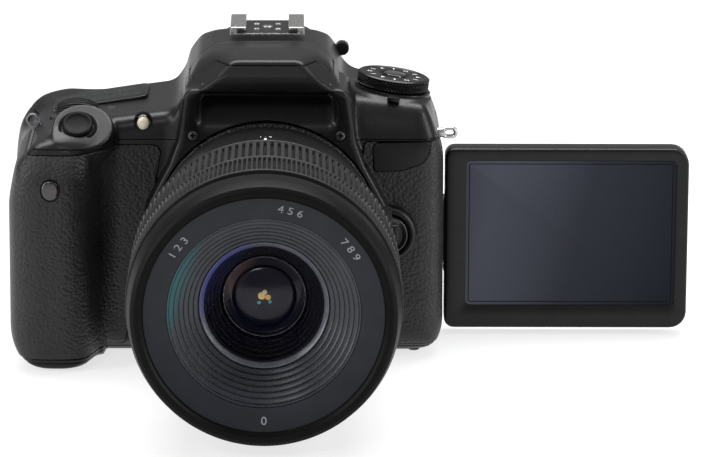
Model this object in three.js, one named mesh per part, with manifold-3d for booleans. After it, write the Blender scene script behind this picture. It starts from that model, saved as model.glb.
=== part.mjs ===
// A single-lens reflex camera with a zoom lens and a side-hinged screen, in millimetres.
// X runs to the camera's left hand side (the screen side), Y from the lens back to the eyepiece, Z up.
// The origin lies on the base, straight under the middle of the image sensor.
import * as THREE from "three";
import { mergeVertices } from "three/addons/utils/BufferGeometryUtils.js";
import Module from "manifold-3d";

const wasm = await Module();
wasm.setup();

// ---- driving dimensions ----
const AXIS_Z = 40.3; // height of the lens axis
const FLANGE_Y = -44; // the lens seat, one flange focal distance in front of the sensor
const FRONT_Y = -35; // front of the body beside the lens
const REAR_Y = 13;
const GRIP_FRONT_Y = -52.2;
const LEFT_X = -75.5; // outer side of the grip
const RIGHT_X = 52.3;
const DECK_SEAM_Z = 66.2; // where the top cover meets the front and rear covers
const SPLIT_Y = -12; // where the front cover meets the rear cover
const WALL = 2; // thickness of the moulded covers
const GAP = 0.3; // between pieces that touch
const SKIN = 0.8; // rubber coverings
const SKIN_SEAT = 1.2; // how deep they are let into the covers
const FILLET_STEPS = 2;
const FAR = 120; // beyond the camera in every direction

// The screen swings about a post in the rear corner and tilts about an axle through its arm.
const POST_X = 51;
const POST_Y = 3.25;
const SCREEN = { width: 74.3, height: 55.6, depth: 8.5, z: 30.8, gapToPost: 2.5, front: -12.25 };
const RECESS_Y = 6.5; // floor of the screen's recess in the rear cover

// ---- materials ----
const paint = (colour, roughness, metalness = 0) =>
  new THREE.MeshStandardMaterial({ color: colour, roughness, metalness });
const shellPlastic = paint(0x232427, 0.5);
const rubber = paint(0x18191b, 0.8);
const lensPlastic = paint(0x1c1d1f, 0.4);
const glossPlastic = paint(0x0e0f11, 0.15);
const metal = paint(0xc8c9cc, 0.25, 1);
const darkMetal = paint(0x3a3b3e, 0.4, 1);
const glass = paint(0x10141c, 0.05);
const clearLamp = paint(0xd9cbb4, 0.2);
const board = paint(0x1f4a33, 0.6);
const cell = paint(0x2a2b30, 0.5);

// ---- solids ----

// A closed geometry as a solid whose faces point out.
function solid(geometry) {
  const bare = geometry.index ? geometry.toNonIndexed() : geometry.clone();
  bare.deleteAttribute("normal");
  bare.deleteAttribute("uv");
  const merged = mergeVertices(bare, 1e-4);
  const vertProperties = merged.attributes.position.array;
  const triVerts = new Uint32Array(merged.index.array);
  const made = new wasm.Manifold(new wasm.Mesh({ numProp: 3, vertProperties, triVerts }));
  if (made.volume() > 0) return made;
  for (let i = 0; i < triVerts.length; i += 3) {
    [triVerts[i + 1], triVerts[i + 2]] = [triVerts[i + 2], triVerts[i + 1]];
  }
  return new wasm.Manifold(new wasm.Mesh({ numProp: 3, vertProperties, triVerts }));
}

const join = (first, ...others) => others.reduce((a, b) => a.add(b), first);
const cut = (first, ...others) => others.reduce((a, b) => a.subtract(b), first);
const common = (first, ...others) => others.reduce((a, b) => a.intersect(b), first);

// The largest body of a solid: chips left where two faces nearly meet are dropped.
const largest = (shape) => shape.decompose().reduce((a, b) => (b.volume() > a.volume() ? b : a));

// A mesh from a solid.
function piece(name, shape, material) {
  const { vertProperties, triVerts } = largest(shape).getMesh();
  const geometry = new THREE.BufferGeometry();
  geometry.setAttribute("position", new THREE.BufferAttribute(vertProperties, 3));
  geometry.setIndex(new THREE.BufferAttribute(triVerts, 1));
  geometry.computeVertexNormals();
  const mesh = new THREE.Mesh(geometry, material);
  mesh.name = name;
  return mesh;
}

function block([x0, y0, z0], [x1, y1, z1]) {
  const box = new THREE.BoxGeometry(x1 - x0, y1 - y0, z1 - z0);
  return solid(box.translate((x0 + x1) / 2, (y0 + y1) / 2, (z0 + z1) / 2));
}

// An outline through [x, y, cut] corners, each rounded over its cut length along both sides.
function outline(corners) {
  const at = (i) => new THREE.Vector2(...corners.at(i % corners.length));
  const shape = new THREE.Shape();
  corners.forEach(([, , wanted = 0], i) => {
    const here = at(i);
    const room = Math.min(here.distanceTo(at(i - 1)), here.distanceTo(at(i + 1)));
    const round = Math.min(wanted, 0.48 * room);
    const start = here.clone().add(at(i - 1).sub(here).setLength(round));
    const end = here.clone().add(at(i + 1).sub(here).setLength(round));
    if (i === 0) shape.moveTo(start.x, start.y);
    else shape.lineTo(start.x, start.y);
    if (round > 0) shape.quadraticCurveTo(here.x, here.y, end.x, end.y);
  });
  return shape.closePath();
}

// The same corners, listed anticlockwise, moved inwards by a distance.
function inset(corners, distance) {
  const edges = corners.map((a, i) => {
    const b = corners[(i + 1) % corners.length];
    const along = new THREE.Vector2(b[0] - a[0], b[1] - a[1]).normalize();
    const inward = new THREE.Vector2(-along.y, along.x);
    return { along, offset: inward.x * a[0] + inward.y * a[1] + distance, inward };
  });
  return corners.map(([, , round = 0], i) => {
    const p = edges.at(i - 1);
    const q = edges[i];
    const turn = p.inward.x * q.inward.y - p.inward.y * q.inward.x;
    const bend = turn / (1 + p.along.dot(q.along));
    const x = (p.offset * q.inward.y - q.offset * p.inward.y) / turn;
    const y = (q.offset * p.inward.x - p.offset * q.inward.x) / turn;
    return [x, y, round && Math.max(0.2, round - distance * bend)];
  });
}

// The outline's plane and the way it is extruded, as the directions of its own x, y and z.
const BASES = {
  x: [new THREE.Vector3(0, 1, 0), new THREE.Vector3(0, 0, 1), new THREE.Vector3(1, 0, 0)],
  y: [new THREE.Vector3(1, 0, 0), new THREE.Vector3(0, 0, 1), new THREE.Vector3(0, -1, 0)],
  z: [new THREE.Vector3(1, 0, 0), new THREE.Vector3(0, 1, 0), new THREE.Vector3(0, 0, 1)],
};

// A shape extruded along an axis, from one coordinate to a higher one.
function extrude(shape, axis, from, to, curveSegments = FILLET_STEPS) {
  const options = { depth: to - from, bevelEnabled: false, curveSegments };
  const geometry = new THREE.ExtrudeGeometry(shape, options);
  geometry.applyMatrix4(new THREE.Matrix4().makeBasis(...BASES[axis]));
  const start = axis === "y" ? to : from;
  return solid(geometry.translate(...["x", "y", "z"].map((a) => (a === axis ? start : 0))));
}

// A ring or disc turned about Y from [radius, y] corners.
function turned(profile, segments = 32) {
  const points = [...profile, profile[0]].map(([r, y]) => new THREE.Vector2(r, y));
  return solid(new THREE.LatheGeometry(points, segments));
}

// A cylinder along an axis, from a start point.
function rod(axis, [x, y, z], radius, length, segments = 20) {
  const geometry = new THREE.CylinderGeometry(radius, radius, length, segments);
  geometry.translate(0, length / 2, 0);
  if (axis === "x") geometry.rotateZ(-Math.PI / 2);
  if (axis === "z") geometry.rotateX(Math.PI / 2);
  return solid(geometry.translate(x, y, z));
}

// A rounded rectangle as outline corners.
const rectangle = (x0, y0, x1, y1, round) => [
  [x0, y0, round],
  [x1, y0, round],
  [x1, y1, round],
  [x0, y1, round],
];

// ---- the body's outer form ----
const TOP_VIEW = [
  [RIGHT_X, FRONT_Y, 10],
  [RIGHT_X, REAR_Y, 5],
  [LEFT_X, REAR_Y, 8],
  [LEFT_X, GRIP_FRONT_Y, 10],
  [-53.5, GRIP_FRONT_Y, 8],
  [-48.5, FRONT_Y, 6],
];
const FRONT_VIEW = [
  [LEFT_X, 0, 5],
  [RIGHT_X, 0, 3],
  [RIGHT_X, 62, 10],
  [47.8, 75.6, 3],
  [25, 80, 4],
  [-27, 76.5, 4],
  [-62, 73.2, 8],
  [LEFT_X, 60, 9],
];
const SIDE_VIEW = [
  [GRIP_FRONT_Y, 0, 4],
  [REAR_Y, 0, 3],
  [REAR_Y, 84, 1],
  [-25, 84, 1],
  [-47, 67.6, 4],
  [GRIP_FRONT_Y, 59, 4.5],
];
const HUMP_FRONT_VIEW = [
  [-28, 60],
  [28, 60],
  [24.4, 83, 2],
  [22, 90.5, 3],
  [18, 95.6, 3],
  [12.4, 97, 1.5],
  [-12.4, 97, 1.5],
  [-18, 95.6, 3],
  [-22, 90.5, 3],
  [-24.4, 83, 2],
];
const HUMP_SIDE_VIEW = [
  [-34, 60],
  [12, 60],
  [13.5, 88, 4],
  [6, 97, 4],
  [-20, 97, 5],
  [-44.5, 93.6, 3],
  [-48.2, 87.5, 3],
  [-47.2, 82.8, 1],
  [-38, 80.5, 1],
];

// The body block, moved inwards by a distance.
const bodyForm = (distance) =>
  common(
    extrude(outline(inset(TOP_VIEW, distance)), "z", -1, FAR),
    extrude(outline(inset(FRONT_VIEW, distance)), "y", -FAR, FAR),
    extrude(outline(inset(SIDE_VIEW, distance)), "x", -FAR, FAR),
  );

// The viewfinder hump, moved inwards by a distance.
const humpForm = (distance) =>
  common(
    extrude(outline(inset(HUMP_FRONT_VIEW, distance)), "y", -FAR, FAR),
    extrude(outline(inset(HUMP_SIDE_VIEW, distance)), "x", -FAR, FAR),
  );

// The raised panel round the lens mount; its upper front slopes back under the viewfinder's nose.
const PANEL_OUTLINE = [
  [-31, 2.6, 8],
  [31, 2.6, 8],
  [36, 18, 8],
  [36, 48, 8],
  [28.6, 60, 5],
  [24.4, 80.6, 1],
  [-24.4, 80.6, 1],
  [-28.6, 60, 5],
  [-36, 48, 8],
  [-36, 18, 8],
];
const PANEL_SIDE_VIEW = [
  [-42.6, 0],
  [-33, 0],
  [-33, 80.2],
  [-37.4, 80.2, 2],
  [-42.6, 70, 6],
];
const panelForm = (distance, back = -33) =>
  common(
    extrude(outline(inset(PANEL_OUTLINE, distance)), "y", -FAR, back),
    extrude(outline(inset(PANEL_SIDE_VIEW, distance)), "x", -FAR, FAR),
  );

// The hollow behind a wall of the body, open at the base.
const hollow = (wall) => join(bodyForm(wall), bodyForm(wall).translate([0, 0, -1]));

const body0 = bodyForm(0);
const bodyInside = bodyForm(WALL);
const hump0 = humpForm(0);
const humpInside = humpForm(WALL);
const panelOpening = extrude(outline(inset(PANEL_OUTLINE, -GAP)), "y", -FAR, -30);
const behind = (y) => block([-FAR, y, -5], [FAR, FAR, FAR]);
const ahead = (y) => block([-FAR, -FAR, -5], [FAR, y, FAR]);
const between = (z0, z1) => block([-FAR, -FAR, z0], [FAR, FAR, z1]);

// ---- rubber coverings and the name badge, let into the front cover ----
const RUBBER_Z = [3.6, 65.4];
const BADGE = rectangle(31.4, 56.4, 48.4, 65.4, 2.5);
const gripRubberRegion = (grow) =>
  block([-FAR, -FAR, RUBBER_Z[0] - grow], [-28, SPLIT_Y - 2 + grow, RUBBER_Z[1] + 4 * grow]);
const sideRubberRegion = (grow) =>
  cut(
    block([28, -FAR, RUBBER_Z[0] - grow], [FAR, -27 + grow, RUBBER_Z[1] + 4 * grow]),
    extrude(outline(inset(BADGE, grow - GAP)), "y", -FAR, -20),
  );
const skinOf = (region) => cut(common(body0, region), bodyForm(SKIN), panelOpening);
const REMOTE_WINDOW = { x: -63.1, z: 54.8, rx: 2.9, rz: 3.5 };
const gripRubber = cut(
  skinOf(gripRubberRegion(0)),
  rod("y", [REMOTE_WINDOW.x, -FAR, REMOTE_WINDOW.z], REMOTE_WINDOW.rz + GAP, 90),
);
const badgeSlab = extrude(outline(BADGE), "y", -FAR, -20);

// ---- covers ----
const SEAM_FRONT_REAR = [SPLIT_Y - GAP / 2, SPLIT_Y + GAP / 2];
const LENS_RELEASE = { x: 38.3, z: 37.6, r: 5.4 };
const TERMINALS = { y0: -24.6, y1: -10.4, z0: 10, z1: 54 };
const CARD = { y0: -9.5, y1: 7, z0: 14, z1: 52 };
const BATTERY_DOOR = { x0: -69.8, x1: -54.6, y0: -46, y1: -13.4 };
const LUG_LEFT = { x: 52.6, y: -20, z: 63, lift: 0 };
const LUG_RIGHT = { x: -68.2, y: -20, z: 69.4, lift: 2.1 };
const terminalOpening = block(
  [RIGHT_X - SKIN - GAP, TERMINALS.y0 - GAP, TERMINALS.z0 - GAP],
  [FAR, TERMINALS.y1 + GAP, TERMINALS.z1 + GAP],
);
const terminalPocket = block([RIGHT_X - 12, -22, 16], [FAR, -14, 48]);
const cardOpening = block([-FAR, CARD.y0 - GAP, CARD.z0 - GAP], [-70, CARD.y1 + GAP, CARD.z1 + GAP]);
const batteryOpening = block(
  [BATTERY_DOOR.x0 - GAP, BATTERY_DOOR.y0 - GAP, -1],
  [BATTERY_DOOR.x1 + GAP, BATTERY_DOOR.y1 + GAP, 4],
);
const STUB_R = 1.7;


// Moves a shape built about a strap lug's foot, its plate along X, to its place.
function lugAt(shape, { x, y, z, lift }) {
  const move = new THREE.Matrix4().makeRotationY(-lift).setPosition(x, y, z);
  return shape.transform(move.toArray());
}

const frontCover = cut(
  common(body0, ahead(SEAM_FRONT_REAR[0]), between(2.3, DECK_SEAM_Z - GAP)),
  hollow(WALL + 0.6),
  panelOpening,
  cut(gripRubberRegion(GAP), bodyForm(SKIN_SEAT)),
  cut(sideRubberRegion(GAP), bodyForm(SKIN_SEAT)),
  cut(extrude(outline(inset(BADGE, -GAP)), "y", -FAR, -20), bodyForm(SKIN_SEAT)),
  rod("y", [REMOTE_WINDOW.x, -FAR, REMOTE_WINDOW.z], 2.6, 100, 12),
  rod("y", [LENS_RELEASE.x, -FAR, LENS_RELEASE.z], LENS_RELEASE.r + GAP, 100),
  terminalOpening,
  terminalPocket,
  lugAt(rod("x", [-9, 0, 0], STUB_R + GAP, 12, 12), LUG_LEFT),
);
const sideRubber = cut(
  skinOf(sideRubberRegion(0)),
  rod("y", [LENS_RELEASE.x, -FAR, LENS_RELEASE.z], 8.4 + GAP, 90),
  terminalOpening,
);
const badge = cut(common(body0, badgeSlab), bodyForm(SKIN));
const releaseCollar = cut(
  rod("y", [LENS_RELEASE.x, FRONT_Y - 2.2, LENS_RELEASE.z], 8.4, 4.2, 24),
  rod("y", [LENS_RELEASE.x, -FAR, LENS_RELEASE.z], LENS_RELEASE.r + GAP, 100),
  panelOpening,
);

// The strip behind the mount panel that ties the two sides of the front cover together.
const chin = block([-38, -32.7, 2.6], [38, -30.4, 9]);

// Rear cover: a recess for the folded screen, open at the hinge side, and a notch for the hinge.
const screenRecess = join(
  block([-27, RECESS_Y, 1.6], [FAR, FAR, 60]),
  block([POST_X - 5.5, -4.6, 17.2], [FAR, RECESS_Y + 1, 44.4]),
);
const recessShell = join(
  block([-29, RECESS_Y - WALL, 2.3], [RIGHT_X - 0.1, REAR_Y - 0.2, 62]),
  block([POST_X - 7.5, -6.6, 15.2], [RIGHT_X - 0.1, RECESS_Y, 46.4]),
);
const DIAL = { x: -50.5, z: 30, r: 13.5 };
const REAR_BUTTONS = {
  menu_button: { x: 41, z: 63.2, r: 2.6 },
  info_button: { x: 33, z: 63.2, r: 2.6 },
  live_view_button: { x: -31.5, z: 63, r: 3.2 },
};
const rearCover = cut(
  join(
    cut(common(body0, behind(SEAM_FRONT_REAR[1]), between(2.3, DECK_SEAM_Z - GAP)), hollow(WALL)),
    common(body0, recessShell),
  ),
  screenRecess,
  cardOpening,
  terminalOpening,
  rod("y", [DIAL.x, REAR_Y - 1.4, DIAL.z], DIAL.r + GAP, 10, 32),
  rod("y", [DIAL.x, 0, DIAL.z], 3, 20, 12),
  ...Object.values(REAR_BUTTONS).map((b) => rod("y", [b.x, 0, b.z], b.r + GAP, 20, 16)),
);

// Top cover: deck and viewfinder hump in one moulding, with a well for the flash.
const FLASH_REAR_Y = -21;
const FLASH_HINGE = { y: -25, z: 94 }; // the flash head is cut back below this, behind its window
const FLASH_SEAM = [
  [-27, 82.8],
  [-15, 91.8, 2],
  [15, 91.8, 2],
  [27, 82.8],
  [27, FAR],
  [-27, FAR],
];
const flashRegion = (shrink) =>
  extrude(outline(inset(FLASH_SEAM, shrink)), "y", -FAR, FLASH_REAR_Y - shrink);
const flashWell = block([-17, -44.6, 83.6], [17, FLASH_REAR_Y, 96]);
const SHUTTER = { x: -55, y: -41, z: 71.1, tilt: 0.64, r: 4.6 };
const MAIN_DIAL = { x: -56, y: -29.4, z: 71.4, r: 6, half: 5.2 };
const MODE = { x: 37.2, y: -15, z: 77.4, lean: 0.14, r: 10.7, h: 6 };
const TOP_BUTTONS = { focus_button: -62, drive_button: -54, speed_button: -46 };
const TOP_BUTTON = { y: -18, r: 2.1 };
const DECK_SLOPE = Math.atan2(3.3, 35); // the deck falls away to the right-hand side
const deckZ = (x) => 73.2 + (x + 62) * Math.tan(DECK_SLOPE);
const DISPLAY = { x: -50, y: -3, width: 29, depth: 19 };
const displayAt = { x: DISPLAY.x, y: DISPLAY.y, z: deckZ(DISPLAY.x), lean: -DECK_SLOPE };

// Places a solid built about the origin with its axis along Z.
function placed(shape, { x, y, z, tilt = 0, lean = 0 }) {
  const move = new THREE.Matrix4().makeRotationFromEuler(new THREE.Euler(tilt, lean, 0));
  move.setPosition(x, y, z);
  return shape.transform(move.toArray());
}

// The window over the deck's display, about its middle, grown by a distance.
function displaySlab(grow, z0, z1) {
  const x = DISPLAY.width / 2 + grow;
  const y = DISPLAY.depth / 2 + grow;
  return extrude(outline(rectangle(-x, -y, x, y, 3)), "z", z0, z1);
}

const shutterAt = { x: SHUTTER.x, y: SHUTTER.y, z: SHUTTER.z, tilt: SHUTTER.tilt };
const modeAt = { x: MODE.x, y: MODE.y, z: MODE.z, lean: MODE.lean };
const deckSolid = join(
  common(body0, between(DECK_SEAM_Z, FAR)),
  common(hump0, between(DECK_SEAM_Z, FAR)),
  placed(rod("z", [0, 0, 0], 11.6, 9, 32), { ...modeAt, z: MODE.z - 8.6 }),
  common(placed(rod("z", [0, 0, -8], 7.4, 7.4, 24), shutterAt), between(DECK_SEAM_Z, FAR)),
);
const deckInside = join(
  common(bodyInside, between(DECK_SEAM_Z - 4, FAR)),
  common(humpInside, between(DECK_SEAM_Z - 4, FAR)),
);
const topCover = cut(
  join(cut(deckSolid, deckInside), common(hump0, block([-19, -46.6, 81.6], [19, FLASH_REAR_Y + 2, 93]))),
  common(panelOpening, ahead(-32)),
  flashRegion(0),
  flashWell,
  placed(rod("z", [0, 0, -12], SHUTTER.r + GAP, 24), shutterAt),
  block(
    [MAIN_DIAL.x - MAIN_DIAL.half - GAP, MAIN_DIAL.y - 6.6, 64],
    [MAIN_DIAL.x + MAIN_DIAL.half + GAP, MAIN_DIAL.y + 6.6, 80],
  ),
  placed(rod("z", [0, 0, -12], 4.2, 24), modeAt),
  lugAt(rod("x", [-9, 0, 0], STUB_R + GAP, 12, 12), LUG_RIGHT),
  ...Object.values(TOP_BUTTONS).map((x) =>
    rod("z", [x, TOP_BUTTON.y, 60], TOP_BUTTON.r + GAP, 30, 12),
  ),
  placed(displaySlab(GAP, -1.3, 8), displayAt),
  rod("y", [-36.1, -60, 71.1], 2.6 + GAP, 40, 16),
  block([-14.5, -FAR, 71.5], [14.5, FAR, 88]).intersect(behind(4)),
  rod("y", [22.5, 5, 84.5], 3 + GAP, 10, 16).add(block([20, 6, 81], [30, 12.4, 88])),
);

// ---- camera body ----
const camera = new THREE.Group();
const basePlate = cut(
  common(body0, between(0, 2)),
  rod("z", [0, -20, -1], 3.2, 4, 24),
  batteryOpening,
);
const socket = cut(
  join(rod("z", [0, -20, 2.3], 7.5, 1.2, 24), rod("z", [0, -20, 2.3], 5, 7, 24)),
  rod("z", [0, -20, 1], 3.1, 7, 24),
);
camera.add(
  piece("front_cover", join(frontCover, releaseCollar, chin), shellPlastic),
  piece("rear_cover", rearCover, shellPlastic),
  piece("top_cover", topCover, shellPlastic),
  piece("base_plate", basePlate, shellPlastic),
  piece("tripod_socket", socket, metal),
  piece("grip_rubber", gripRubber, rubber),
  piece("side_rubber", sideRubber, rubber),
  piece("name_badge", badge, glossPlastic),
);

// Lens mount panel with the bore that the mount ring sits in, and a hole for the lens release.
const MOUNT_R = 33;
const mountPanel = cut(
  panelForm(0),
  panelForm(WALL, FAR),
  rod("y", [0, -60, AXIS_Z], 30, 40, 48),
  rod("y", [0, FLANGE_Y - 2, AXIS_Z], MOUNT_R + GAP, 2.6, 48),
  rod("y", [LENS_RELEASE.x, -60, LENS_RELEASE.z], 8.4 + GAP, 40),
);
camera.add(piece("mount_panel", mountPanel, shellPlastic));

const remoteWindow = common(
  rod("y", [REMOTE_WINDOW.x, -56, REMOTE_WINDOW.z], REMOTE_WINDOW.rx, 10, 20),
  bodyForm(-0.1),
  block([-80, -60, 40], [-50, GRIP_FRONT_Y + 2.4, 60]),
);
camera.add(piece("remote_window", cut(remoteWindow, bodyForm(SKIN)), glossPlastic));
camera.add(piece("focus_lamp", rod("y", [-36.1, -37.6, 71.1], 2.6, 8, 16), clearLamp));

// Strap lugs: a flat plate with a slot, on a stub through the cover.
function strapLug(name, { x, y, z, lift }) {
  const shape = outline([[0.3, -3.4, 1.2], [4.4, -2.6, 1.8], [4.4, 2.6, 1.8], [0.3, 3.4, 1.2]]);
  shape.holes.push(outline(rectangle(1.4, -1.6, 3.2, 1.6, 0.6)));
  const plate = extrude(shape, "z", -0.8, 0.8);
  const lug = piece(name, join(plate, rod("x", [-2.6, 0, 0], STUB_R, 3.2, 12)), metal);
  lug.position.set(x, y, z);
  lug.rotation.y = -lift;
  return lug;
}
camera.add(strapLug("strap_lug_left", LUG_LEFT), strapLug("strap_lug_right", LUG_RIGHT));

// Accessory shoe: a floor, two side walls and their folded lips.
const shoe = cut(
  extrude(outline(rectangle(-11, -19, 11, 1, 1)), "z", 97.3, 99.9),
  block([-9.3, -20, 98], [9.3, -0.6, 99.2]),
  block([-6.3, -20, 98], [6.3, -0.6, 101]),
);
camera.add(piece("accessory_shoe", shoe, metal));

// ---- viewfinder ----
const eyecupOuter = extrude(outline(rectangle(-16.5, 67.4, 16.5, 91, 5)), "y", REAR_Y + 1, 22.6);
const eyecup = cut(eyecupOuter, extrude(outline(rectangle(-10.5, 73.6, 10.5, 86.4, 3)), "y", 0, 30));
camera.add(piece("eyecup", eyecup, rubber));
const eyepiece = extrude(outline(rectangle(-10.2, 74, 10.2, 86, 2.5)), "y", 9, 12.6);
camera.add(piece("eyepiece_lens", eyepiece, glass));
const PENTAMIRROR = [
  [-32.6, 64.8],
  [-6, 64.8],
  [2, 72],
  [0, 80],
  [-6, 89.5],
  [-16.6, 89.5],
  [-18.4, 81.2],
  [-32.6, 76],
];
camera.add(piece("pentamirror", extrude(outline(PENTAMIRROR), "x", -15, 15), glossPlastic));

// ---- top deck display ----
camera.add(piece("top_display", placed(displaySlab(0, -1, 0.1), displayAt), glass));

// ---- inside the body ----
const mirrorBox = cut(
  block([-21, -38, AXIS_Z - 19], [21, -9, AXIS_Z + 21]),
  block([-19.5, -42, AXIS_Z - 17.5], [19.5, -8, AXIS_Z + 19.5]),
  block([-15, -38, AXIS_Z + 15], [15, -12, AXIS_Z + 30]),
);
camera.add(piece("mirror_box", mirrorBox, cell));
const shutterUnit = cut(
  block([-24, -8.4, AXIS_Z - 20], [24, -4, AXIS_Z + 20]),
  block([-12, -10, AXIS_Z - 8.5], [12, 0, AXIS_Z + 8.5]),
);
camera.add(piece("shutter_unit", shutterUnit, darkMetal));
const sensor = join(
  block([-18, -1.2, AXIS_Z - 14], [18, 1.4, AXIS_Z + 14]),
  block([-11.15, -2.6, AXIS_Z - 7.45], [11.15, 0, AXIS_Z + 7.45]),
);
camera.add(piece("image_sensor", sensor, glass));
camera.add(piece("main_board", block([-44, 2, 8], [40, 3.6, 58]), board));
camera.add(piece("battery", block([-69.8, -45.6, 3.6], [-55.8, -13.4, 53]), cell));
const mirrorPlate = block([-17, -27, -0.6], [17, 0, 0.6]);
const mirror = piece("reflex_mirror", mirrorPlate, glass);
mirror.position.set(0, -12, AXIS_Z + 11.6);
mirror.rotation.x = Math.PI / 4;
camera.add(mirror);

// ---- doors and port covers ----
const hatch = (region, depth) => cut(common(body0, region), bodyForm(depth));
camera.add(
  piece(
    "card_door",
    hatch(block([-FAR, CARD.y0, CARD.z0], [-60, CARD.y1, CARD.z1]), WALL - 0.4),
    rubber,
  ),
  piece(
    "battery_door",
    block([BATTERY_DOOR.x0, BATTERY_DOOR.y0, 0.2], [BATTERY_DOOR.x1, BATTERY_DOOR.y1, 2]),
    shellPlastic,
  ),
  piece(
    "terminal_cover",
    hatch(
      block([40, TERMINALS.y0, TERMINALS.z0], [FAR, TERMINALS.y1, TERMINALS.z1]),
      SKIN,
    ),
    rubber,
  ),
);

// ---- flash ----
const flashHead = cut(
  common(flashRegion(GAP), hump0),
  humpForm(2.2),
  block([-30, FLASH_HINGE.y, 80], [30, 0, FLASH_HINGE.z]),
);
camera.add(
  piece("flash_head", flashHead, shellPlastic),
  piece("flash_window", block([-14, -42, 85.4], [14, -33, 91]), clearLamp),
);

// ---- buttons and dials ----

// A round key with a domed cap and a thinner stem, its axis along Z and its rim at the origin.
function key(radius, rise, stem, segments = 14) {
  const points = [
    [0, rise],
    [radius * 0.85, rise * 0.8],
    [radius, 0],
    [radius, -1.2],
    [radius * 0.6, -1.2],
    [radius * 0.6, -stem],
    [0, -stem],
  ].map(([r, z]) => new THREE.Vector2(r, z));
  return solid(new THREE.LatheGeometry(points, segments).rotateX(Math.PI / 2));
}

const shutterButton = piece("shutter_button", key(SHUTTER.r, 1.4, 4, 20), glossPlastic);
shutterButton.position.set(SHUTTER.x, SHUTTER.y, SHUTTER.z);
shutterButton.rotation.x = SHUTTER.tilt;
camera.add(shutterButton);

for (const [name, x] of Object.entries(TOP_BUTTONS)) {
  const button = piece(name, key(TOP_BUTTON.r, 0.6, 3, 10), shellPlastic);
  button.position.set(x, TOP_BUTTON.y, deckZ(x) + 0.4);
  camera.add(button);
}
for (const [name, { x, z, r }] of Object.entries(REAR_BUTTONS)) {
  const button = piece(name, key(r, 0.6, 3, 12), shellPlastic);
  button.position.set(x, REAR_Y + 0.3, z);
  button.rotation.x = -Math.PI / 2;
  camera.add(button);
}
const release = piece("lens_release", key(LENS_RELEASE.r, 0.8, 5, 18), shellPlastic);
release.position.set(LENS_RELEASE.x, FRONT_Y - 2.4, LENS_RELEASE.z);
release.rotation.x = Math.PI / 2;
camera.add(release);

const mainDial = piece(
  "main_dial",
  rod("x", [-MAIN_DIAL.half, 0, 0], MAIN_DIAL.r, 2 * MAIN_DIAL.half, 24),
  rubber,
);
mainDial.position.set(MAIN_DIAL.x, MAIN_DIAL.y, MAIN_DIAL.z);
camera.add(mainDial);

// The mode dial stack leans outwards: power lever, dial, and the lock key in its middle.
const modeStack = new THREE.Group();
modeStack.position.set(MODE.x, MODE.y, MODE.z);
modeStack.rotation.y = MODE.lean;
const lever = cut(
  join(rod("z", [0, 0, 0.7], 11.3, 1.3, 32), block([-1.8, -15.4, 0.7], [1.8, -8, 2])),
  rod("z", [0, 0, 0], 4.4, 4, 20),
);
const dial = cut(
  join(rod("z", [0, 0, 2.3], MODE.r, MODE.h - 2.3, 32), rod("z", [0, 0, -3], 3.9, 8, 20)),
  rod("z", [0, 0, 2.7], 3.6, 8, 20),
);
const lock = piece("mode_dial_lock", rod("z", [0, 0, 3.7], 3.3, 2.7, 16), glossPlastic);
modeStack.add(piece("power_lever", lever, shellPlastic), piece("mode_dial", dial, lensPlastic), lock);
camera.add(modeStack);

const controlDial = cut(
  rod("y", [0, 0, 0], DIAL.r, 2.4, 32),
  rod("y", [0, -1, 0], 5.1, 5, 20),
);
const controlDialMesh = piece("control_dial", controlDial, rubber);
controlDialMesh.position.set(DIAL.x, REAR_Y - 1.1, DIAL.z);
const setKey = piece("set_button", key(4.7, 0.5, 2.4, 16), shellPlastic);
setKey.position.set(DIAL.x, REAR_Y + 1.5, DIAL.z);
setKey.rotation.x = -Math.PI / 2;
camera.add(controlDialMesh, setKey);
camera.add(piece("diopter_dial", rod("y", [22.5, 8.4, 84.5], 3, 4.6, 20), rubber));

// ---- lens: axis along Y, the flange at its origin, the front towards -Y ----
const lens = new THREE.Group();
lens.position.set(0, FLANGE_Y, AXIS_Z);

// Three bayonet lugs, each spanning an angle, between two radii.
function lugs(r0, r1, span, turn, y0, y1) {
  const parts = [0, 1, 2].map((i) => {
    const middle = (i * 2 * Math.PI) / 3 + turn;
    const shape = new THREE.Shape();
    shape.absarc(0, 0, r1, middle - span / 2, middle + span / 2, false);
    shape.absarc(0, 0, r0, middle + span / 2, middle - span / 2, true);
    return extrude(shape.closePath(), "y", y0, y1, 5);
  });
  return join(...parts);
}
const LUG_SPAN = 0.9;
const mountRing = join(
  turned([[27.2, 0.2], [31, 0.2], [31, -0.2], [32.8, -0.2], [32.8, 1.1], [29.6, 1.1], [29.6, 4], [27.2, 4]], 36),
  lugs(25.7, 27.6, LUG_SPAN, Math.PI / 2, 0.6, 1.8),
);
const bayonet = join(
  turned([[22.6, -2.6], [31, -2.6], [31, -0.5], [25.2, -0.5], [25.2, 5.5], [22.6, 5.5]]),
  lugs(24.8, 26.7, LUG_SPAN, Math.PI / 2, 2.3, 3.8),
);
const FOCUS_RING = [-83.2, -67];
const ZOOM_RING = [-66.6, -42];
const SLEEVE_R = 34.8;
const lensBarrel = turned([
  [23, -3],
  [32.4, -3],
  [33.4, -7],
  [33.8, -14],
  [36.6, -33],
  [37.4, -41.6],
  [SLEEVE_R, -41.6],
  [SLEEVE_R, -84.4],
  [33.5, -84.4],
  [33.5, -16.7],
  [15.8, -16.7],
  [15.8, -14.3],
  [32.2, -14.3],
  [32.2, -6],
  [23, -6],
]);
const ring = (r0, r1, y0, y1, chamfer) =>
  turned([[r0, y0], [r1 - chamfer, y0], [r1, y0 + chamfer], [r1, y1 - chamfer], [r1 - chamfer, y1], [r0, y1]]);
const zoomBarrel = turned([
  [31.4, -20],
  [33.1, -20],
  [33.1, -84.8],
  [37.2, -84.8],
  [37.6, -86.4],
  [37.4, -91],
  [36.4, -96],
  [35.4, -97],
  [33.8, -97],
  [33.8, -92],
  [31.4, -92],
]);
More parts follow.
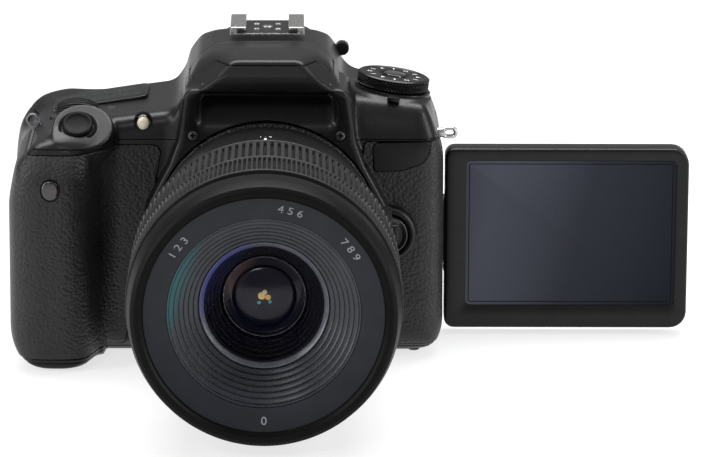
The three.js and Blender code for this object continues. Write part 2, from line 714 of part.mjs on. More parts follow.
// The name ring with its stepped light baffle, and the cell tube behind it.
const BAFFLE_STEPS = 4;
const baffle = [];
for (let i = 0; i <= BAFFLE_STEPS; i++) {
  const share = i / BAFFLE_STEPS;
  const radius = 26.8 - share * 8.4;
  const depth = -92.6 + share * 8.8;
  baffle.push([radius, depth], [radius, depth + 1.3]);
}
const nameRing = turned([
  [33.4, -94.4],
  ...baffle,
  [17, -82],
  [17, -70],
  [18.6, -70],
  [19.4, -82],
  [30, -91.6],
  [31, -92.4],
  [33.4, -92.4],
]);
const frontElement = turned([
  [0, -86.6],
  [8, -85.4],
  [13, -83.8],
  [16.7, -81.2],
  [16.7, -77],
  [0, -76],
], 32);
const rearCell = turned(
  [[13, -2], [15.5, -2], [15.5, -62], [12, -62], [12, -58], [13.6, -58], [13.6, -6], [13, -6]],
  24,
);
const iris = turned([[4, -36.5], [13.3, -36.5], [13.3, -33], [4, -33]], 24);
const rearElement = turned([[0, -0.6], [8, -1.2], [12.7, -3.4], [12.7, -9], [0, -10]], 24);
// The fixed barrel carries the rear cell on a plate, and a flat boss on its side holds the two switches.
const switchRecess = (z, half) => block([33.2, -30, z - half], [40, -20, z + half]);
const SWITCHES = { focus_switch: 7, stabilizer_switch: -5 };
const switchBoss = cut(block([28, -36, -14], [37.4, -12, 16]), turned([[0, -100], [34.15, -100], [34.15, 0], [0, 0]]));
const barrelWithBoss = cut(
  join(lensBarrel, switchBoss),
  ...Object.values(SWITCHES).map((z) => switchRecess(z, 2.4)),
);
lens.add(
  piece("lens_bayonet", bayonet, metal),
  piece("lens_barrel", barrelWithBoss, lensPlastic),
  piece("zoom_ring", ring(SLEEVE_R + GAP, 37.7, ZOOM_RING[0], ZOOM_RING[1], 0.6), rubber),
  piece("focus_ring", ring(SLEEVE_R + GAP, 37.9, FOCUS_RING[0], FOCUS_RING[1], 0.6), rubber),
  piece("zoom_barrel", zoomBarrel, lensPlastic),
  piece("name_ring", nameRing, lensPlastic),
  piece("front_element", frontElement, glass),
  piece("rear_cell", rearCell, lensPlastic),
  piece("iris_unit", iris, darkMetal),
  piece("rear_element", rearElement, glass),
);
for (const [name, z] of Object.entries(SWITCHES)) {
  lens.add(piece(name, block([33.5, -28.4, z - 2], [38, -24.4, z + 2]), lensPlastic));
}
const mountGroup = new THREE.Group();
mountGroup.position.copy(lens.position);
mountGroup.add(piece("mount_ring", mountRing, metal));
camera.add(lens, mountGroup);

// ---- screen, swung out beside the body ----
const swing = new THREE.Group();
swing.position.set(POST_X, POST_Y, SCREEN.z);
const ARM = { x0: 2.2, x1: 6, y0: -11.4, y1: -5, half: 11.2 };
const KNEE = 7.4; // the arm is narrower where it leaves the post, so that the screen can turn round it
const NOTCH_HALF = 12.4;
const TILT_Y = SCREEN.front + SCREEN.depth / 2;
const arm = join(
  rod("z", [0, 0, -ARM.half], 2.3, 2 * ARM.half, 20),
  block([ARM.x0, ARM.y0, -ARM.half], [ARM.x1, ARM.y1, ARM.half]),
  extrude(outline([[-1.4, 0.6], [2.3, -5.2], [4.6, -5.2], [2.4, 1.2], [0, 2.4]]), "z", -KNEE, KNEE),
  rod("x", [ARM.x1 - 0.5, TILT_Y, 0], 2.2, 5.6, 16),
);
swing.add(piece("screen_hinge", arm, lensPlastic));

const SCREEN_X = [SCREEN.gapToPost, SCREEN.gapToPost + SCREEN.width];
const SCREEN_Y = [SCREEN.front, SCREEN.front + SCREEN.depth];
const half = SCREEN.height / 2;
const GLASS = { x0: 8.7, x1: 72.8, z0: -20.6, z1: 24.4 };
const screenCase = cut(
  common(
    extrude(outline(rectangle(SCREEN_X[0], -half, SCREEN_X[1], half, 5)), "y", ...SCREEN_Y, 4),
    extrude(outline(rectangle(SCREEN_Y[0], -half, SCREEN_Y[1], half, 1.2)), "x", 0, 90, 2),
  ),
  block([0, -20, -NOTCH_HALF], [ARM.x1 + 0.4, 0, NOTCH_HALF]),
  rod("x", [0, TILT_Y, 0], 2.6, 12, 16),
  extrude(outline(rectangle(GLASS.x0, GLASS.z0, GLASS.x1, GLASS.z1, 2)), "y", -20, SCREEN.front + 1.8, 3),
);
const pane = extrude(
  outline(inset(rectangle(GLASS.x0, GLASS.z0, GLASS.x1, GLASS.z1, 2), GAP)),
  "y",
  SCREEN.front + 0.3,
  SCREEN.front + 1.5,
  3,
);
swing.add(piece("screen_case", screenCase, lensPlastic), piece("screen_glass", pane, glass));
camera.add(swing);

export default camera;
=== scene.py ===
"""The look of a single-lens reflex camera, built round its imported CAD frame. Lengths inside are in millimetres."""

import math

import bmesh
import bpy
import numpy as np
from mathutils import Euler, Matrix, Vector


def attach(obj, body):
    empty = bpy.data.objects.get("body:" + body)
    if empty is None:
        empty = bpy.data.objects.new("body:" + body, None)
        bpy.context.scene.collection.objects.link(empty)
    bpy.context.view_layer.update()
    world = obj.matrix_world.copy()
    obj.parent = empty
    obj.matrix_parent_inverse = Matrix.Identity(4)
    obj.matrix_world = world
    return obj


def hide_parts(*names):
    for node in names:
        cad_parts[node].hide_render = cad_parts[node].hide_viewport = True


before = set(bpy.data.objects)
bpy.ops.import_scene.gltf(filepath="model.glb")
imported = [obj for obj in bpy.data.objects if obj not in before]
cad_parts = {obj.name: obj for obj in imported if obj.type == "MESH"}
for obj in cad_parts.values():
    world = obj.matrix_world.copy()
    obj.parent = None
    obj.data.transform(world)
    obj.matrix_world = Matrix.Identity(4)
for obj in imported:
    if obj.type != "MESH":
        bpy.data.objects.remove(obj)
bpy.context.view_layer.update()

MM = 0.001
AXIS_Z = 40.3
FLANGE_Y = -44.0

# ------------------------------------------------------------------ distance fields


def arc_at(corners, i, r, clamp):
    """A corner's rounding arc: its centre, radius, first angle and turn."""
    here = np.array(corners[i][:2], float)
    a = np.array(corners[i - 1][:2], float) - here
    b = np.array(corners[(i + 1) % len(corners)][:2], float) - here
    la, lb = np.linalg.norm(a), np.linalg.norm(b)
    a, b = a / la, b / lb
    angle = math.acos(np.clip(a @ b, -1, 1))
    tangent = r / math.tan(angle / 2)
    reach = 0.49 * min(la, lb)
    if clamp and tangent > reach:
        r, tangent = r * reach / tangent, reach
    mid = a + b
    centre = here + mid / np.linalg.norm(mid) * (r / math.sin(angle / 2))
    p, q = here + a * tangent - centre, here + b * tangent - centre
    t0, t1 = math.atan2(p[1], p[0]), math.atan2(q[1], q[0])
    return centre, r, t0, (t1 - t0 + math.pi) % (2 * math.pi) - math.pi


def arc_points(centre, r, t0, turn, count):
    angles = [t0 + turn * k / count for k in range(count + 1)]
    return [centre + r * np.array([math.cos(t), math.sin(t)]) for t in angles]


def outline(corners, step=0.12):
    """Points along a closed outline through (x, y, radius) corners, each rounded by a true arc."""
    pts = []
    for i, (x, y, r) in enumerate(corners):
        if r <= 0:
            pts.append(np.array([x, y], float))
            continue
        arc = arc_at(corners, i, r, True)
        pts += arc_points(*arc, max(2, int(abs(arc[3]) / step)))
    return np.array(pts)


def polygon_distance(u, v, pts):
    """Signed distance from points to a closed polygon, negative inside."""
    best = np.full(np.broadcast(u, v).shape, 1e9)
    inside = np.zeros(best.shape, bool)
    for (x0, y0), (x1, y1) in zip(pts, np.roll(pts, -1, axis=0)):
        ex, ey = x1 - x0, y1 - y0
        wx, wy = u - x0, v - y0
        t = np.clip((wx * ex + wy * ey) / (ex * ex + ey * ey + 1e-12), 0, 1)
        dx, dy = wx - t * ex, wy - t * ey
        best = np.minimum(best, dx * dx + dy * dy)
        if y0 != y1:
            cross = (v >= y0) != (v >= y1)
            inside ^= cross & (wx < ex * wy / ey)
    return np.where(inside, -1, 1) * np.sqrt(best)


class Profile:
    """A 2-D outline's distance, tabulated once and read back by smooth interpolation."""

    def __init__(self, corners, margin=14.0, step=0.3):
        pts = outline(corners)
        self.lo = pts.min(0) - margin
        self.step = step
        size = np.ceil((pts.max(0) + margin - self.lo) / step).astype(int) + 4
        self.u = self.lo[0] + np.arange(size[0]) * step
        self.v = self.lo[1] + np.arange(size[1]) * step
        self.grid = polygon_distance(self.u[:, None], self.v[None, :], pts)

    def __call__(self, u, v):
        nu, nv = self.grid.shape
        a = np.clip((u - self.lo[0]) / self.step, 1, nu - 3.001)
        b = np.clip((v - self.lo[1]) / self.step, 1, nv - 3.001)
        i, j = np.floor(a).astype(int), np.floor(b).astype(int)
        a, b = a - i, b - j
        i, j = np.broadcast_arrays(i, j)
        total = 0.0
        for k, wk in enumerate(cubic_weights(a)):
            row = 0.0
            for m, wm in enumerate(cubic_weights(b)):
                row = row + wm * self.grid[i + k - 1, j + m - 1]
            total = total + wk * row
        return total


def cubic_weights(t):
    """B-spline weights: a little smoothing, and a smooth gradient."""
    return ((1 - t) ** 3 / 6, (3 * t**3 - 6 * t**2 + 4) / 6, (-3 * t**3 + 3 * t**2 + 3 * t + 1) / 6, t**3 / 6)


def smax(a, b, k):
    """Intersection with an edge rounded over about k."""
    h = np.maximum(k - np.abs(a - b), 0) / k
    return np.maximum(a, b) + h * h * k / 4


def smin(a, b, k):
    return -smax(-a, -b, k)


def box3(x, y, z, lo, hi, r=0.0):
    """Signed distance to a box with edges rounded by r."""
    c = [(a + b) / 2 for a, b in zip(lo, hi)]
    h = [(b - a) / 2 - r for a, b in zip(lo, hi)]
    q = [np.abs(p - m) - e for p, m, e in zip((x, y, z), c, h)]
    outside = np.sqrt(sum(np.maximum(t, 0) ** 2 for t in q))
    return outside + np.minimum(np.maximum(q[0], np.maximum(q[1], q[2])), 0) - r


def ellipsoid(x, y, z, c, r):
    k = [(p - m) / e for p, m, e in zip((x, y, z), c, r)]
    d = np.sqrt(sum(t * t for t in k))
    return (d - 1) * min(r)


def plane(x, y, z, point, normal):
    n = np.array(normal, float)
    n /= np.linalg.norm(n)
    return (x - point[0]) * n[0] + (y - point[1]) * n[1] + (z - point[2]) * n[2]


# ------------------------------------------------------------------ the body's form

TOP = Profile([(53.55, -35.0, 9), (53.55, 14.0, 6), (-76.75, 14.0, 9), (-76.75, -53.2, 14), (-54.0, -53.2, 9),
    (-48.6, -34.9, 7)])
FRONT = Profile([(-76.75, -1.0, 14), (53.55, -1.0, 12), (53.2, 62.0, 16), (46.6, 76.0, 4), (24.0, 78.6, 6),
    (-24.0, 75.2, 6), (-60.0, 70.4, 10), (-68.2, 67.4, 8), (-73.6, 60.8, 7), (-76.75, 50.0, 14)])
SIDE = Profile([(-53.2, -1.0, 2.5), (14.0, -1.0, 4), (14.0, 90.0, 2), (-27.0, 90.0, 2), (-47.5, 68.0, 5),
    (-53.2, 58.0, 8)])
HUMP_FRONT = Profile([(-25.2, 60.0, 0), (24.4, 60.0, 0), (22.9, 77.0, 6), (21.6, 83.8, 8), (18.4, 89.4, 7),
    (14.8, 92.0, 6), (10.0, 93.4, 6), (-10.8, 93.4, 6), (-16.0, 92.0, 6), (-20.0, 89.4, 7), (-23.5, 83.8, 8),
    (-25.4, 77.0, 6)])
HUMP_SIDE = Profile([(-34.0, 60.0, 0), (12.0, 60.0, 0), (13.2, 86.0, 5), (8.0, 90.2, 6), (0.0, 93.2, 10),
    (-20.0, 93.4, 10), (-31.0, 94.2, 8), (-45.8, 92.4, 2.5), (-48.6, 87.0, 6), (-47.8, 83.6, 1.2),
    (-36.0, 80.6, 2)])
PANEL = Profile([(-30.0, 2.6, 8), (30.0, 2.6, 8), (36.0, 18.0, 10), (36.0, 47.0, 10), (29.0, 60.0, 8),
    (26.4, 67.0, 8), (24.2, 84.0, 4), (-24.2, 84.0, 4), (-26.4, 67.0, 8), (-29.0, 60.0, 8), (-36.0, 47.0, 10),
    (-36.0, 18.0, 10)])
PANEL_SIDE = Profile([(-20.0, -10.0, 0), (-20.0, 90.0, 0), (-47.6, 90.0, 0), (-47.2, 82.0, 4),
    (-42.6, 70.0, 14), (-42.6, -10.0, 0)])
NICHE = Profile([(-21.0, 66.0, 6), (21.0, 66.0, 6), (20.2, 83.2, 5), (-20.2, 83.2, 5)])
MODE_Z = 76.0
RECESS = ((-27.0, 6.5, 1.0), (90.0, 60.0, 59.6))
NOTCH = ((45.5, -4.6, 17.2), (90.0, 7.5, 44.4))


def body_field(x, y, z):
    """The camera's outer form without its lens mount housing."""
    block = smax(smax(TOP(x, y), FRONT(x, z), 5.0), SIDE(y, z), 4.0)
    shoulder = plane(x, y, z, (0, -35.0, 69.0), (0, -0.85, 0.52))
    right = np.clip((x - 14) / 12, 0, 1)
    block = smax(block, shoulder - 60 * (1 - right), 4.0)
    thumb = ellipsoid(x, y, z, (-64.0, 10.0, 55.0), (9.0, 6.0, 12.0))
    block = smin(block, thumb, 8.0)
    hump = smax(HUMP_FRONT(x, z), HUMP_SIDE(y, z), 2.0)
    for side in (-1, 1):
        hip = plane(x, y, z, (side * 15.6, -30.0, 93.9), (side * 0.60, -0.30, 0.74))
        hump = smax(hump, hip, 1.2)
    keel = plane(x, y, z, (0, -35.0, 5.4), (0, -0.62, -0.78)) - 30 * np.clip((-48 - x) / 4, 0, 1)
    block = smax(block, keel, 2.0)
    body = smin(block, hump, 5.5)
    collar = np.hypot(x - 37.2 - 0.14 * (z - MODE_Z), y + 15.0) - 11.7
    collar = smax(collar, plane(x, y, z, (37.2, -15.0, MODE_Z + 0.3), (0.14, 0, 0.99)), 0.8)
    body = smin(body, smax(collar, 70 - z, 1.0), 3.0)
    rise = plane(x, y, z, (-54.2, -41.0, 71.4), (0.0, -0.607, 0.795))
    pad = np.sqrt((x + 54.0) ** 2 * 0.92 + (y + 41.0) ** 2 * 0.9 + (z - 71.4) ** 2 - rise**2 * 0.9)
    pad = smax(smax(pad - 8.6, rise, 0.8), -rise - 9, 1.0)
    body = smin(body, pad, 2.2)
    body = smax(body, -box3(x, y, z, *RECESS, r=0.6), 0.6)
    body = smax(body, -box3(x, y, z, *NOTCH, r=0.6), 0.6)
    return body


def panel_field(x, y, z):
    """The housing round the lens mount, with the niche under the viewfinder's nose."""
    housing = smax(PANEL(x, z), PANEL_SIDE(y, z), 2.0)
    scoop = plane(x, y, z, (0, -42.4, 70.5), (0, -0.80, -0.60))
    niche = smax(NICHE(x, z), -scoop - 20, 1.0)
    niche = smax(niche, plane(x, y, z, (0, -42.7, 71.0), (0, 0.83, -0.56)), 3.0)
    return smax(housing, -niche, 2.0)


def camera_field(x, y, z):
    return smin(body_field(x, y, z), panel_field(x, y, z), 0.6)


# ------------------------------------------------------------------ meshes from fields


def surface_nets(field, lo, hi, step):
    """Quads on the field's zero surface, with their points pulled onto it."""
    n = [int(math.ceil((b - a) / step)) + 1 for a, b in zip(lo, hi)]
    xs, ys, zs = (a + np.arange(m) * step for a, m in zip(lo, n))
    f = field(xs[:, None, None], ys[None, :, None], zs[None, None, :]).astype(np.float32)
    inside = f < 0
    cells = tuple(m - 1 for m in n)
    total = np.zeros(cells + (3,), np.float32)
    count = np.zeros(cells, np.int32)
    corner = [slice(0, -1), slice(1, None)]
    for axis in range(3):
        others = [a for a in range(3) if a != axis]
        for p in (0, 1):
            for q in (0, 1):
                s0, s1 = [None] * 3, [None] * 3
                s0[axis], s1[axis] = corner[0], corner[1]
                for o, w in zip(others, (p, q)):
                    s0[o] = s1[o] = corner[w]
                a, b = f[tuple(s0)], f[tuple(s1)]
                hit = (a < 0) != (b < 0)
                t = np.where(hit, a / np.where(hit, a - b, 1), 0)
                count += hit
                total[..., axis] += np.where(hit, t, 0)
                for o, w in zip(others, (p, q)):
                    total[..., o] += np.where(hit, w, 0)
    used = count > 0
    index = np.full(cells, -1, np.int64)
    index[used] = np.arange(used.sum())
    ijk = np.argwhere(used)
    points = (ijk + total[used] / count[used][:, None]) * step + np.array(lo)
    quads = []
    for axis in range(3):
        o1, o2 = (axis + 1) % 3, (axis + 2) % 3
        s0, s1 = [slice(1, -1)] * 3, [slice(1, -1)] * 3
        s0[axis], s1[axis] = slice(0, -1), slice(1, None)
        a, b = inside[tuple(s0)], inside[tuple(s1)]
        at = np.argwhere(a != b)
        up = a[tuple(at.T)]
        base = at + 1
        base[:, axis] -= 1
        loop = []
        for d1, d2 in ((0, 0), (-1, 0), (-1, -1), (0, -1)):
            c = base.copy()
            c[:, o1] += d1
            c[:, o2] += d2
            loop.append(index[tuple(c.T)])
        loop = np.stack(loop, 1)
        loop[~up] = loop[~up][:, ::-1]
        quads.append(loop)
    quads = np.concatenate(quads)
    quads = quads[(quads >= 0).all(1)]
    for _ in range(3):
        points = pull(field, points)
    return points, quads


def gradient(field, p, h=0.05):
    x, y, z = p.T
    g = np.stack([field(x + h, y, z) - field(x - h, y, z), field(x, y + h, z) - field(x, y - h, z),
        field(x, y, z + h) - field(x, y, z - h)], 1)
    return g / (2 * h)


def pull(field, p, most=0.5):
    g = gradient(field, p)
    d = field(*p.T)
    move = -d[:, None] * g / np.maximum((g * g).sum(1), 0.2)[:, None]
    size = np.linalg.norm(move, axis=1, keepdims=True)
    return p + move * np.minimum(1, most / np.maximum(size, 1e-9))


def normals_of(field, p):
    g = gradient(field, p)
    return g / np.maximum(np.linalg.norm(g, axis=1, keepdims=True), 1e-9)


def triangles(quads):
    return np.concatenate([quads[:, [0, 1, 2]], quads[:, [0, 2, 3]]]) if quads.shape[1] == 4 else quads


def split(p, tris, value):
    """Cuts triangles along value = 0. Returns points, triangles and each triangle's side."""
    v = np.where(np.abs(value) < 1e-5, 1e-5, value)
    s = v > 0
    side = s[tris]
    mixed = side.any(1) & ~side.all(1)
    keep = tris[~mixed]
    keep_side = side[~mixed][:, 0]
    cut = tris[mixed]
    if len(cut) == 0:
        return p, keep, keep_side
    cs = s[cut]
    lone_up = cs.sum(1) == 1
    lone = np.where(lone_up, cs.argmax(1), (~cs).argmax(1))
    roll = (lone[:, None] + np.arange(3)) % 3
    cut = np.take_along_axis(cut, roll, 1)
    a, b, c = cut.T
    edges = np.concatenate([np.stack([a, b], 1), np.stack([a, c], 1)])
    key = np.sort(edges, 1)
    uniq, inverse = np.unique(key, axis=0, return_inverse=True)
    inverse = inverse.reshape(-1)
    va, vb = v[uniq[:, 0]], v[uniq[:, 1]]
    t = va / (va - vb)
    fresh = p[uniq[:, 0]] * (1 - t)[:, None] + p[uniq[:, 1]] * t[:, None]
    first = len(p)
    ab, ac = first + inverse[: len(a)], first + inverse[len(a) :]
    small = np.stack([a, ab, ac], 1)
    big1 = np.stack([ab, b, c], 1)
    big2 = np.stack([ab, c, ac], 1)
    out = np.concatenate([keep, small, big1, big2])
    out_side = np.concatenate([keep_side, lone_up, ~lone_up, ~lone_up])
    return np.concatenate([p, fresh]), out, out_side


def compact(p, tris):
    used, inverse = np.unique(tris, return_inverse=True)
    return p[used], inverse.reshape(-1, 3)


def carve(p, tris, region, ridge=0.3):
    """Keeps the part of a surface where region < 0, with extra rings of points beside its border."""
    for level in (-ridge, -ridge * 0.4, 0.0):
        p, tris, side = split(p, tris, region(*p.T) - level)
        if level == 0.0:
            tris = tris[~side]
    return compact(p, tris)


def make_mesh(name, p, faces, normals=None, material=None):
    mesh = bpy.data.meshes.new(name)
    mesh.from_pydata((p * MM).tolist(), [], [list(map(int, f)) for f in faces])
    mesh.update()
    mesh.shade_smooth()
    if normals is not None:
        mesh.normals_split_custom_set_from_vertices(normals.tolist())
    obj = bpy.data.objects.new(name, mesh)
    bpy.context.scene.collection.objects.link(obj)
    if material:
        mesh.materials.append(material)
    return obj


def border_edges(tris):
    e = np.concatenate([tris[:, [0, 1]], tris[:, [1, 2]], tris[:, [2, 0]]])
    key = np.sort(e, 1)
    _, first, counts = np.unique(key, axis=0, return_index=True, return_counts=True)
    return e[first[counts == 1]]


def panel_piece(name, surface, field, region, material, lip=1.2, ridge=0.3, sink=0.0):
    """A moulded skin: the surface where region < 0, its border rolled inwards and turned down into the seam."""
    p, tris = carve(*surface, region, ridge)
    n = normals_of(field, p)
    depth = -region(*p.T)
    roll = np.clip(1 - depth / ridge, 0, 1)
    p = p - n * ((1 - np.sqrt(np.maximum(1 - roll**2, 0))) * ridge + sink)[:, None]
    edges = border_edges(tris)
    rim = np.unique(edges)
    where = {int(v): len(p) + i for i, v in enumerate(rim)}
    low = p[rim] - n[rim] * lip
    wall = []
    for a, b in edges:
        a, b = int(a), int(b)
        wall.append((b, a, where[a]))
        wall.append((b, where[a], where[b]))
    g = gradient(region, p[rim])
    g /= np.maximum(np.linalg.norm(g, axis=1, keepdims=True), 1e-9)
    mixed = n.copy()
    mixed[rim] = n[rim] + g * 0.8
    mixed /= np.linalg.norm(mixed, axis=1, keepdims=True)
    p = np.concatenate([p, low])
    normals = np.concatenate([mixed, g])
    faces = np.concatenate([tris, np.array(wall)])
    return make_mesh(name, p, faces, normals, material)


def put(piece, body, slot, *replaced):
    """Names the body a piece rides on and hides the CAD nodes it stands for; slot, the finish it takes, is not used.
    """
    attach(piece, body)
    if replaced:
        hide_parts(*replaced)
    return piece


# ------------------------------------------------------------------ materials


def node(tree, kind, values, feeds, **own):
    """A shader node: its own settings, its inputs' values, and the sockets that feed it."""
    n = tree.nodes.new("ShaderNode" + kind)
    if "data_type" in own:
        n.data_type = own["data_type"]
    if "operation" in own:
        n.operation = own["operation"]
    for key, value in values.items():
        n.inputs[key].default_value = value
    for key, source in feeds.items():
        tree.links.new(source, n.inputs[key])
    return n


def principled(material, **values):
    """Sets a material's own shader inputs and returns its tree and shader."""
    tree = material.node_tree
    bsdf = tree.nodes["Principled BSDF"]
    for key, value in values.items():
        bsdf.inputs[key.replace("_", " ")].default_value = value
    return tree, bsdf


def glow(material, tint, strength):
    principled(material, Emission_Color=tint + (1,), Emission_Strength=strength)


def finish(name, base, rough, metal=0.0, spec=0.5, coat=0.0, coat_rough=0.08, vary=0.25, patch=0.006,
    grain=0.0004, grain_depth=0.00002, rough_vary=0.08, pebble=0.0, pebble_depth=0.0, stretch=None):
    """A moulded or machined finish: broad colour drift, fine grain in the bump and uneven gloss."""
    m = bpy.data.materials.new(name)
    m.use_nodes = True
    t, bsdf = principled(m, Metallic=metal, Specular_IOR_Level=spec, Coat_Weight=coat,
        Coat_Roughness=coat_rough, IOR=1.5)
    where = t.nodes.new("ShaderNodeTexCoord").outputs["Object"]
    if stretch:
        where = node(t, "Mapping", {"Scale": stretch}, {"Vector": where}).outputs["Vector"]

    def noise(size, detail=3.0):
        return node(t, "TexNoise", {"Scale": 1 / size, "Detail": detail}, {"Vector": where}).outputs["Fac"]

    def remap(value, lo, hi):
        span = {"From Min": 0.3, "From Max": 0.7, "To Min": lo, "To Max": hi}
        return node(t, "MapRange", span, {"Value": value}).outputs["Result"]

    drift = remap(noise(patch), 0, 1)
    ends = {"A": tuple(c * (1 - vary) for c in base) + (1,), "B": tuple(min(1, c * (1 + vary)) for c in base) +
        (1,)}
    mix = node(t, "Mix", ends, {"Factor": drift}, data_type="RGBA")
    t.links.new(mix.outputs["Result"], bsdf.inputs["Base Color"])
    fine = noise(grain, 2.0)
    gloss = remap(fine, max(0.0, rough - rough_vary), min(1, rough + rough_vary))
    t.links.new(gloss, bsdf.inputs["Roughness"])
    bump = node(t, "Bump", {"Strength": 1.0, "Distance": grain_depth}, {"Height": fine})
    out = bump.outputs["Normal"]
    if pebble:
        cells = node(t, "TexVoronoi", {"Scale": 1 / pebble}, {"Vector": where})
        second = node(t, "Bump", {"Distance": pebble_depth},
            {"Height": cells.outputs["Distance"], "Normal": out})
        second.invert = True
        out = second.outputs["Normal"]
    t.links.new(out, bsdf.inputs["Normal"])
    if coat:
        t.links.new(bump.outputs["Normal"], bsdf.inputs["Coat Normal"])
    return m


SHELL = finish("shell_grain", (0.0042, 0.0042, 0.0046), 0.36, spec=0.26, grain=0.00035, grain_depth=0.00003)
PANEL_MAT = finish("panel_grain", (0.004, 0.004, 0.0044), 0.34, spec=0.26, grain=0.00035, grain_depth=0.00002)
GLOSS = finish("gloss_black", (0.005, 0.005, 0.006), 0.14, spec=0.4, grain=0.003, grain_depth=0.000004,
    coat=0.5, rough_vary=0.04)
LENS_SHELL = finish("lens_satin", (0.004, 0.004, 0.0045), 0.32, spec=0.26, grain=0.0003, grain_depth=0.000012)
RIM = finish("rim_satin", (0.0028, 0.0028, 0.0033), 0.45, spec=0.08, grain=0.0003, grain_depth=0.000003)
GRIP = finish("grip_leather", (0.008, 0.008, 0.0085), 0.46, spec=0.4, grain=0.0003, grain_depth=0.00003,
    pebble=0.00095, pebble_depth=0.0002)
SOFT = finish("soft_rubber", (0.008, 0.008, 0.0085), 0.6, spec=0.3, grain=0.0002, grain_depth=0.00002)
RIBS = finish("ring_rubber", (0.005, 0.005, 0.0055), 0.5, spec=0.3, grain=0.0003, grain_depth=0.00002)
STEEL = finish("brushed_steel", (0.50, 0.50, 0.49), 0.26, metal=1.0, vary=0.06, stretch=(1, 8, 1), grain=0.0008,
    grain_depth=0.000006)
DARK_METAL = finish("dark_metal", (0.11, 0.11, 0.12), 0.34, metal=0.9, vary=0.15, grain=0.0005,
    grain_depth=0.00001)
SLATE = finish("slate_ring", (0.0065, 0.0080, 0.0130), 0.5, spec=0.3, grain=0.0003, grain_depth=0.00001)
BAFFLE = finish("baffle_black", (0.006, 0.0065, 0.0075), 0.36, spec=0.4, grain=0.0005, grain_depth=0.00001)
INK = finish("printed_white", (0.62, 0.62, 0.60), 0.5, vary=0.06, grain=0.0002)
INK_GREY = finish("printed_grey", (0.22, 0.23, 0.26), 0.5, vary=0.08, grain=0.0002)
LAMP = finish("lamp_diffuser", (0.72, 0.66, 0.50), 0.22, vary=0.05, grain=0.0006, coat=0.4, grain_depth=0.00001)
SMOKED = finish("smoked_window", (0.012, 0.006, 0.006), 0.08, vary=0.2, grain=0.004, grain_depth=0.000002,
    coat=0.6)
BOARD = finish("board_green", (0.02, 0.09, 0.045), 0.4, vary=0.3, grain=0.001)
CELL = finish("cell_wrap", (0.05, 0.05, 0.055), 0.4, vary=0.2, grain=0.001)
VOID = finish("inner_black", (0.004, 0.004, 0.004), 0.9, spec=0.1, grain=0.001)
GLASS = finish("coated_glass", (0.004, 0.004, 0.014), 0.6, spec=0.0, vary=0.2, grain=0.01, grain_depth=0.0,
    rough_vary=0.005)
principled(GLASS, Alpha=0.10)
COATING = finish("coated_inner", (0.004, 0.004, 0.010), 0.12, spec=0.4, vary=0.6, patch=0.02, grain=0.01,
    grain_depth=0.0)
# Gold and teal glow with their own emission as painted reflections, small coloured glints inside the lens.
GOLD = finish("gold_flare", (0.75, 0.50, 0.18), 0.4, vary=0.3, patch=0.002, grain=0.001, grain_depth=0.0)
TEAL = finish("teal_flare", (0.10, 0.34, 0.34), 0.4, vary=0.3, patch=0.002, grain=0.001, grain_depth=0.0)
glow(GOLD, (0.80, 0.48, 0.16), 0.18)
glow(TEAL, (0.10, 0.40, 0.40), 0.18)


def tinted(material, tint, centre, direction, start, stop):
    """Paints a highlight colour into a finish, rising towards one side: painted highlight."""
    t, bsdf = principled(material)
    old = bsdf.inputs["Base Color"].links[0].from_socket
    where = t.nodes.new("ShaderNodeTexCoord").outputs["Object"]
    shift = node(t, "VectorMath", {1: centre}, {0: where}, operation="SUBTRACT").outputs["Vector"]
    dot = node(t, "VectorMath", {1: direction}, {0: shift}, operation="DOT_PRODUCT").outputs["Value"]
    ramp = node(t, "MapRange", {"From Min": start, "From Max": stop}, {"Value": dot})
    ramp.interpolation_type = "SMOOTHSTEP"
    mix = node(t, "Mix", {"B": tint + (1,)}, {"Factor": ramp.outputs["Result"], "A": old}, data_type="RGBA")
    t.links.new(mix.outputs["Result"], bsdf.inputs["Base Color"])
    return material


def display_glass():
    """A dark cover glass with a painted reflection: its colour falls from slate at the hinge side to navy at the far
    side.
    """
    m = finish("display_glass", (0.02, 0.02, 0.03), 0.3, spec=0.06, coat=0.0, coat_rough=0.04, grain=0.004,
        grain_depth=0.0, rough_vary=0.03)
    t, bsdf = principled(m)
    where = t.nodes.new("ShaderNodeTexCoord").outputs["Object"]
    corner = node(t, "Mapping", {"Location": (-0.0597, 0, -0.0102)}, {"Vector": where}).outputs["Vector"]
    split_xyz = node(t, "SeparateXYZ", {}, {"Vector": corner})
    across = node(t, "Math", {1: 15.6}, {0: split_xyz.outputs["X"]}, operation="MULTIPLY").outputs["Value"]
    blend = node(t, "Math", {1: -4.0}, {0: split_xyz.outputs["Z"], 2: across}, operation="MULTIPLY_ADD")
    ramp = node(t, "ValToRGB", {}, {"Fac": blend.outputs["Value"]})
    stops = ramp.color_ramp.elements
    stops[0].position, stops[0].color = 0.0, (0.078, 0.082, 0.108, 1)
    stops[1].position, stops[1].color = 1.0, (0.007, 0.009, 0.014, 1)
    stops.new(0.45).color = (0.026, 0.028, 0.038, 1)
    t.links.new(ramp.outputs["Color"], bsdf.inputs["Base Color"])
    return m


DISPLAY = display_glass()
LENS_CENTRE = (0.0, -0.13, AXIS_Z * MM)
UP_LEFT = (-0.82, 0.0, 0.57)
# The baffle rings carry a painted teal highlight towards the upper left.
LENS_RINGS = finish("baffle_rings", (0.016, 0.018, 0.024), 0.28, spec=0.45, grain=0.0005, grain_depth=0.000003)
tinted(LENS_RINGS, (0.004, 0.060, 0.066), LENS_CENTRE, (-0.95, 0.0, 0.31), 0.0205, 0.0262)
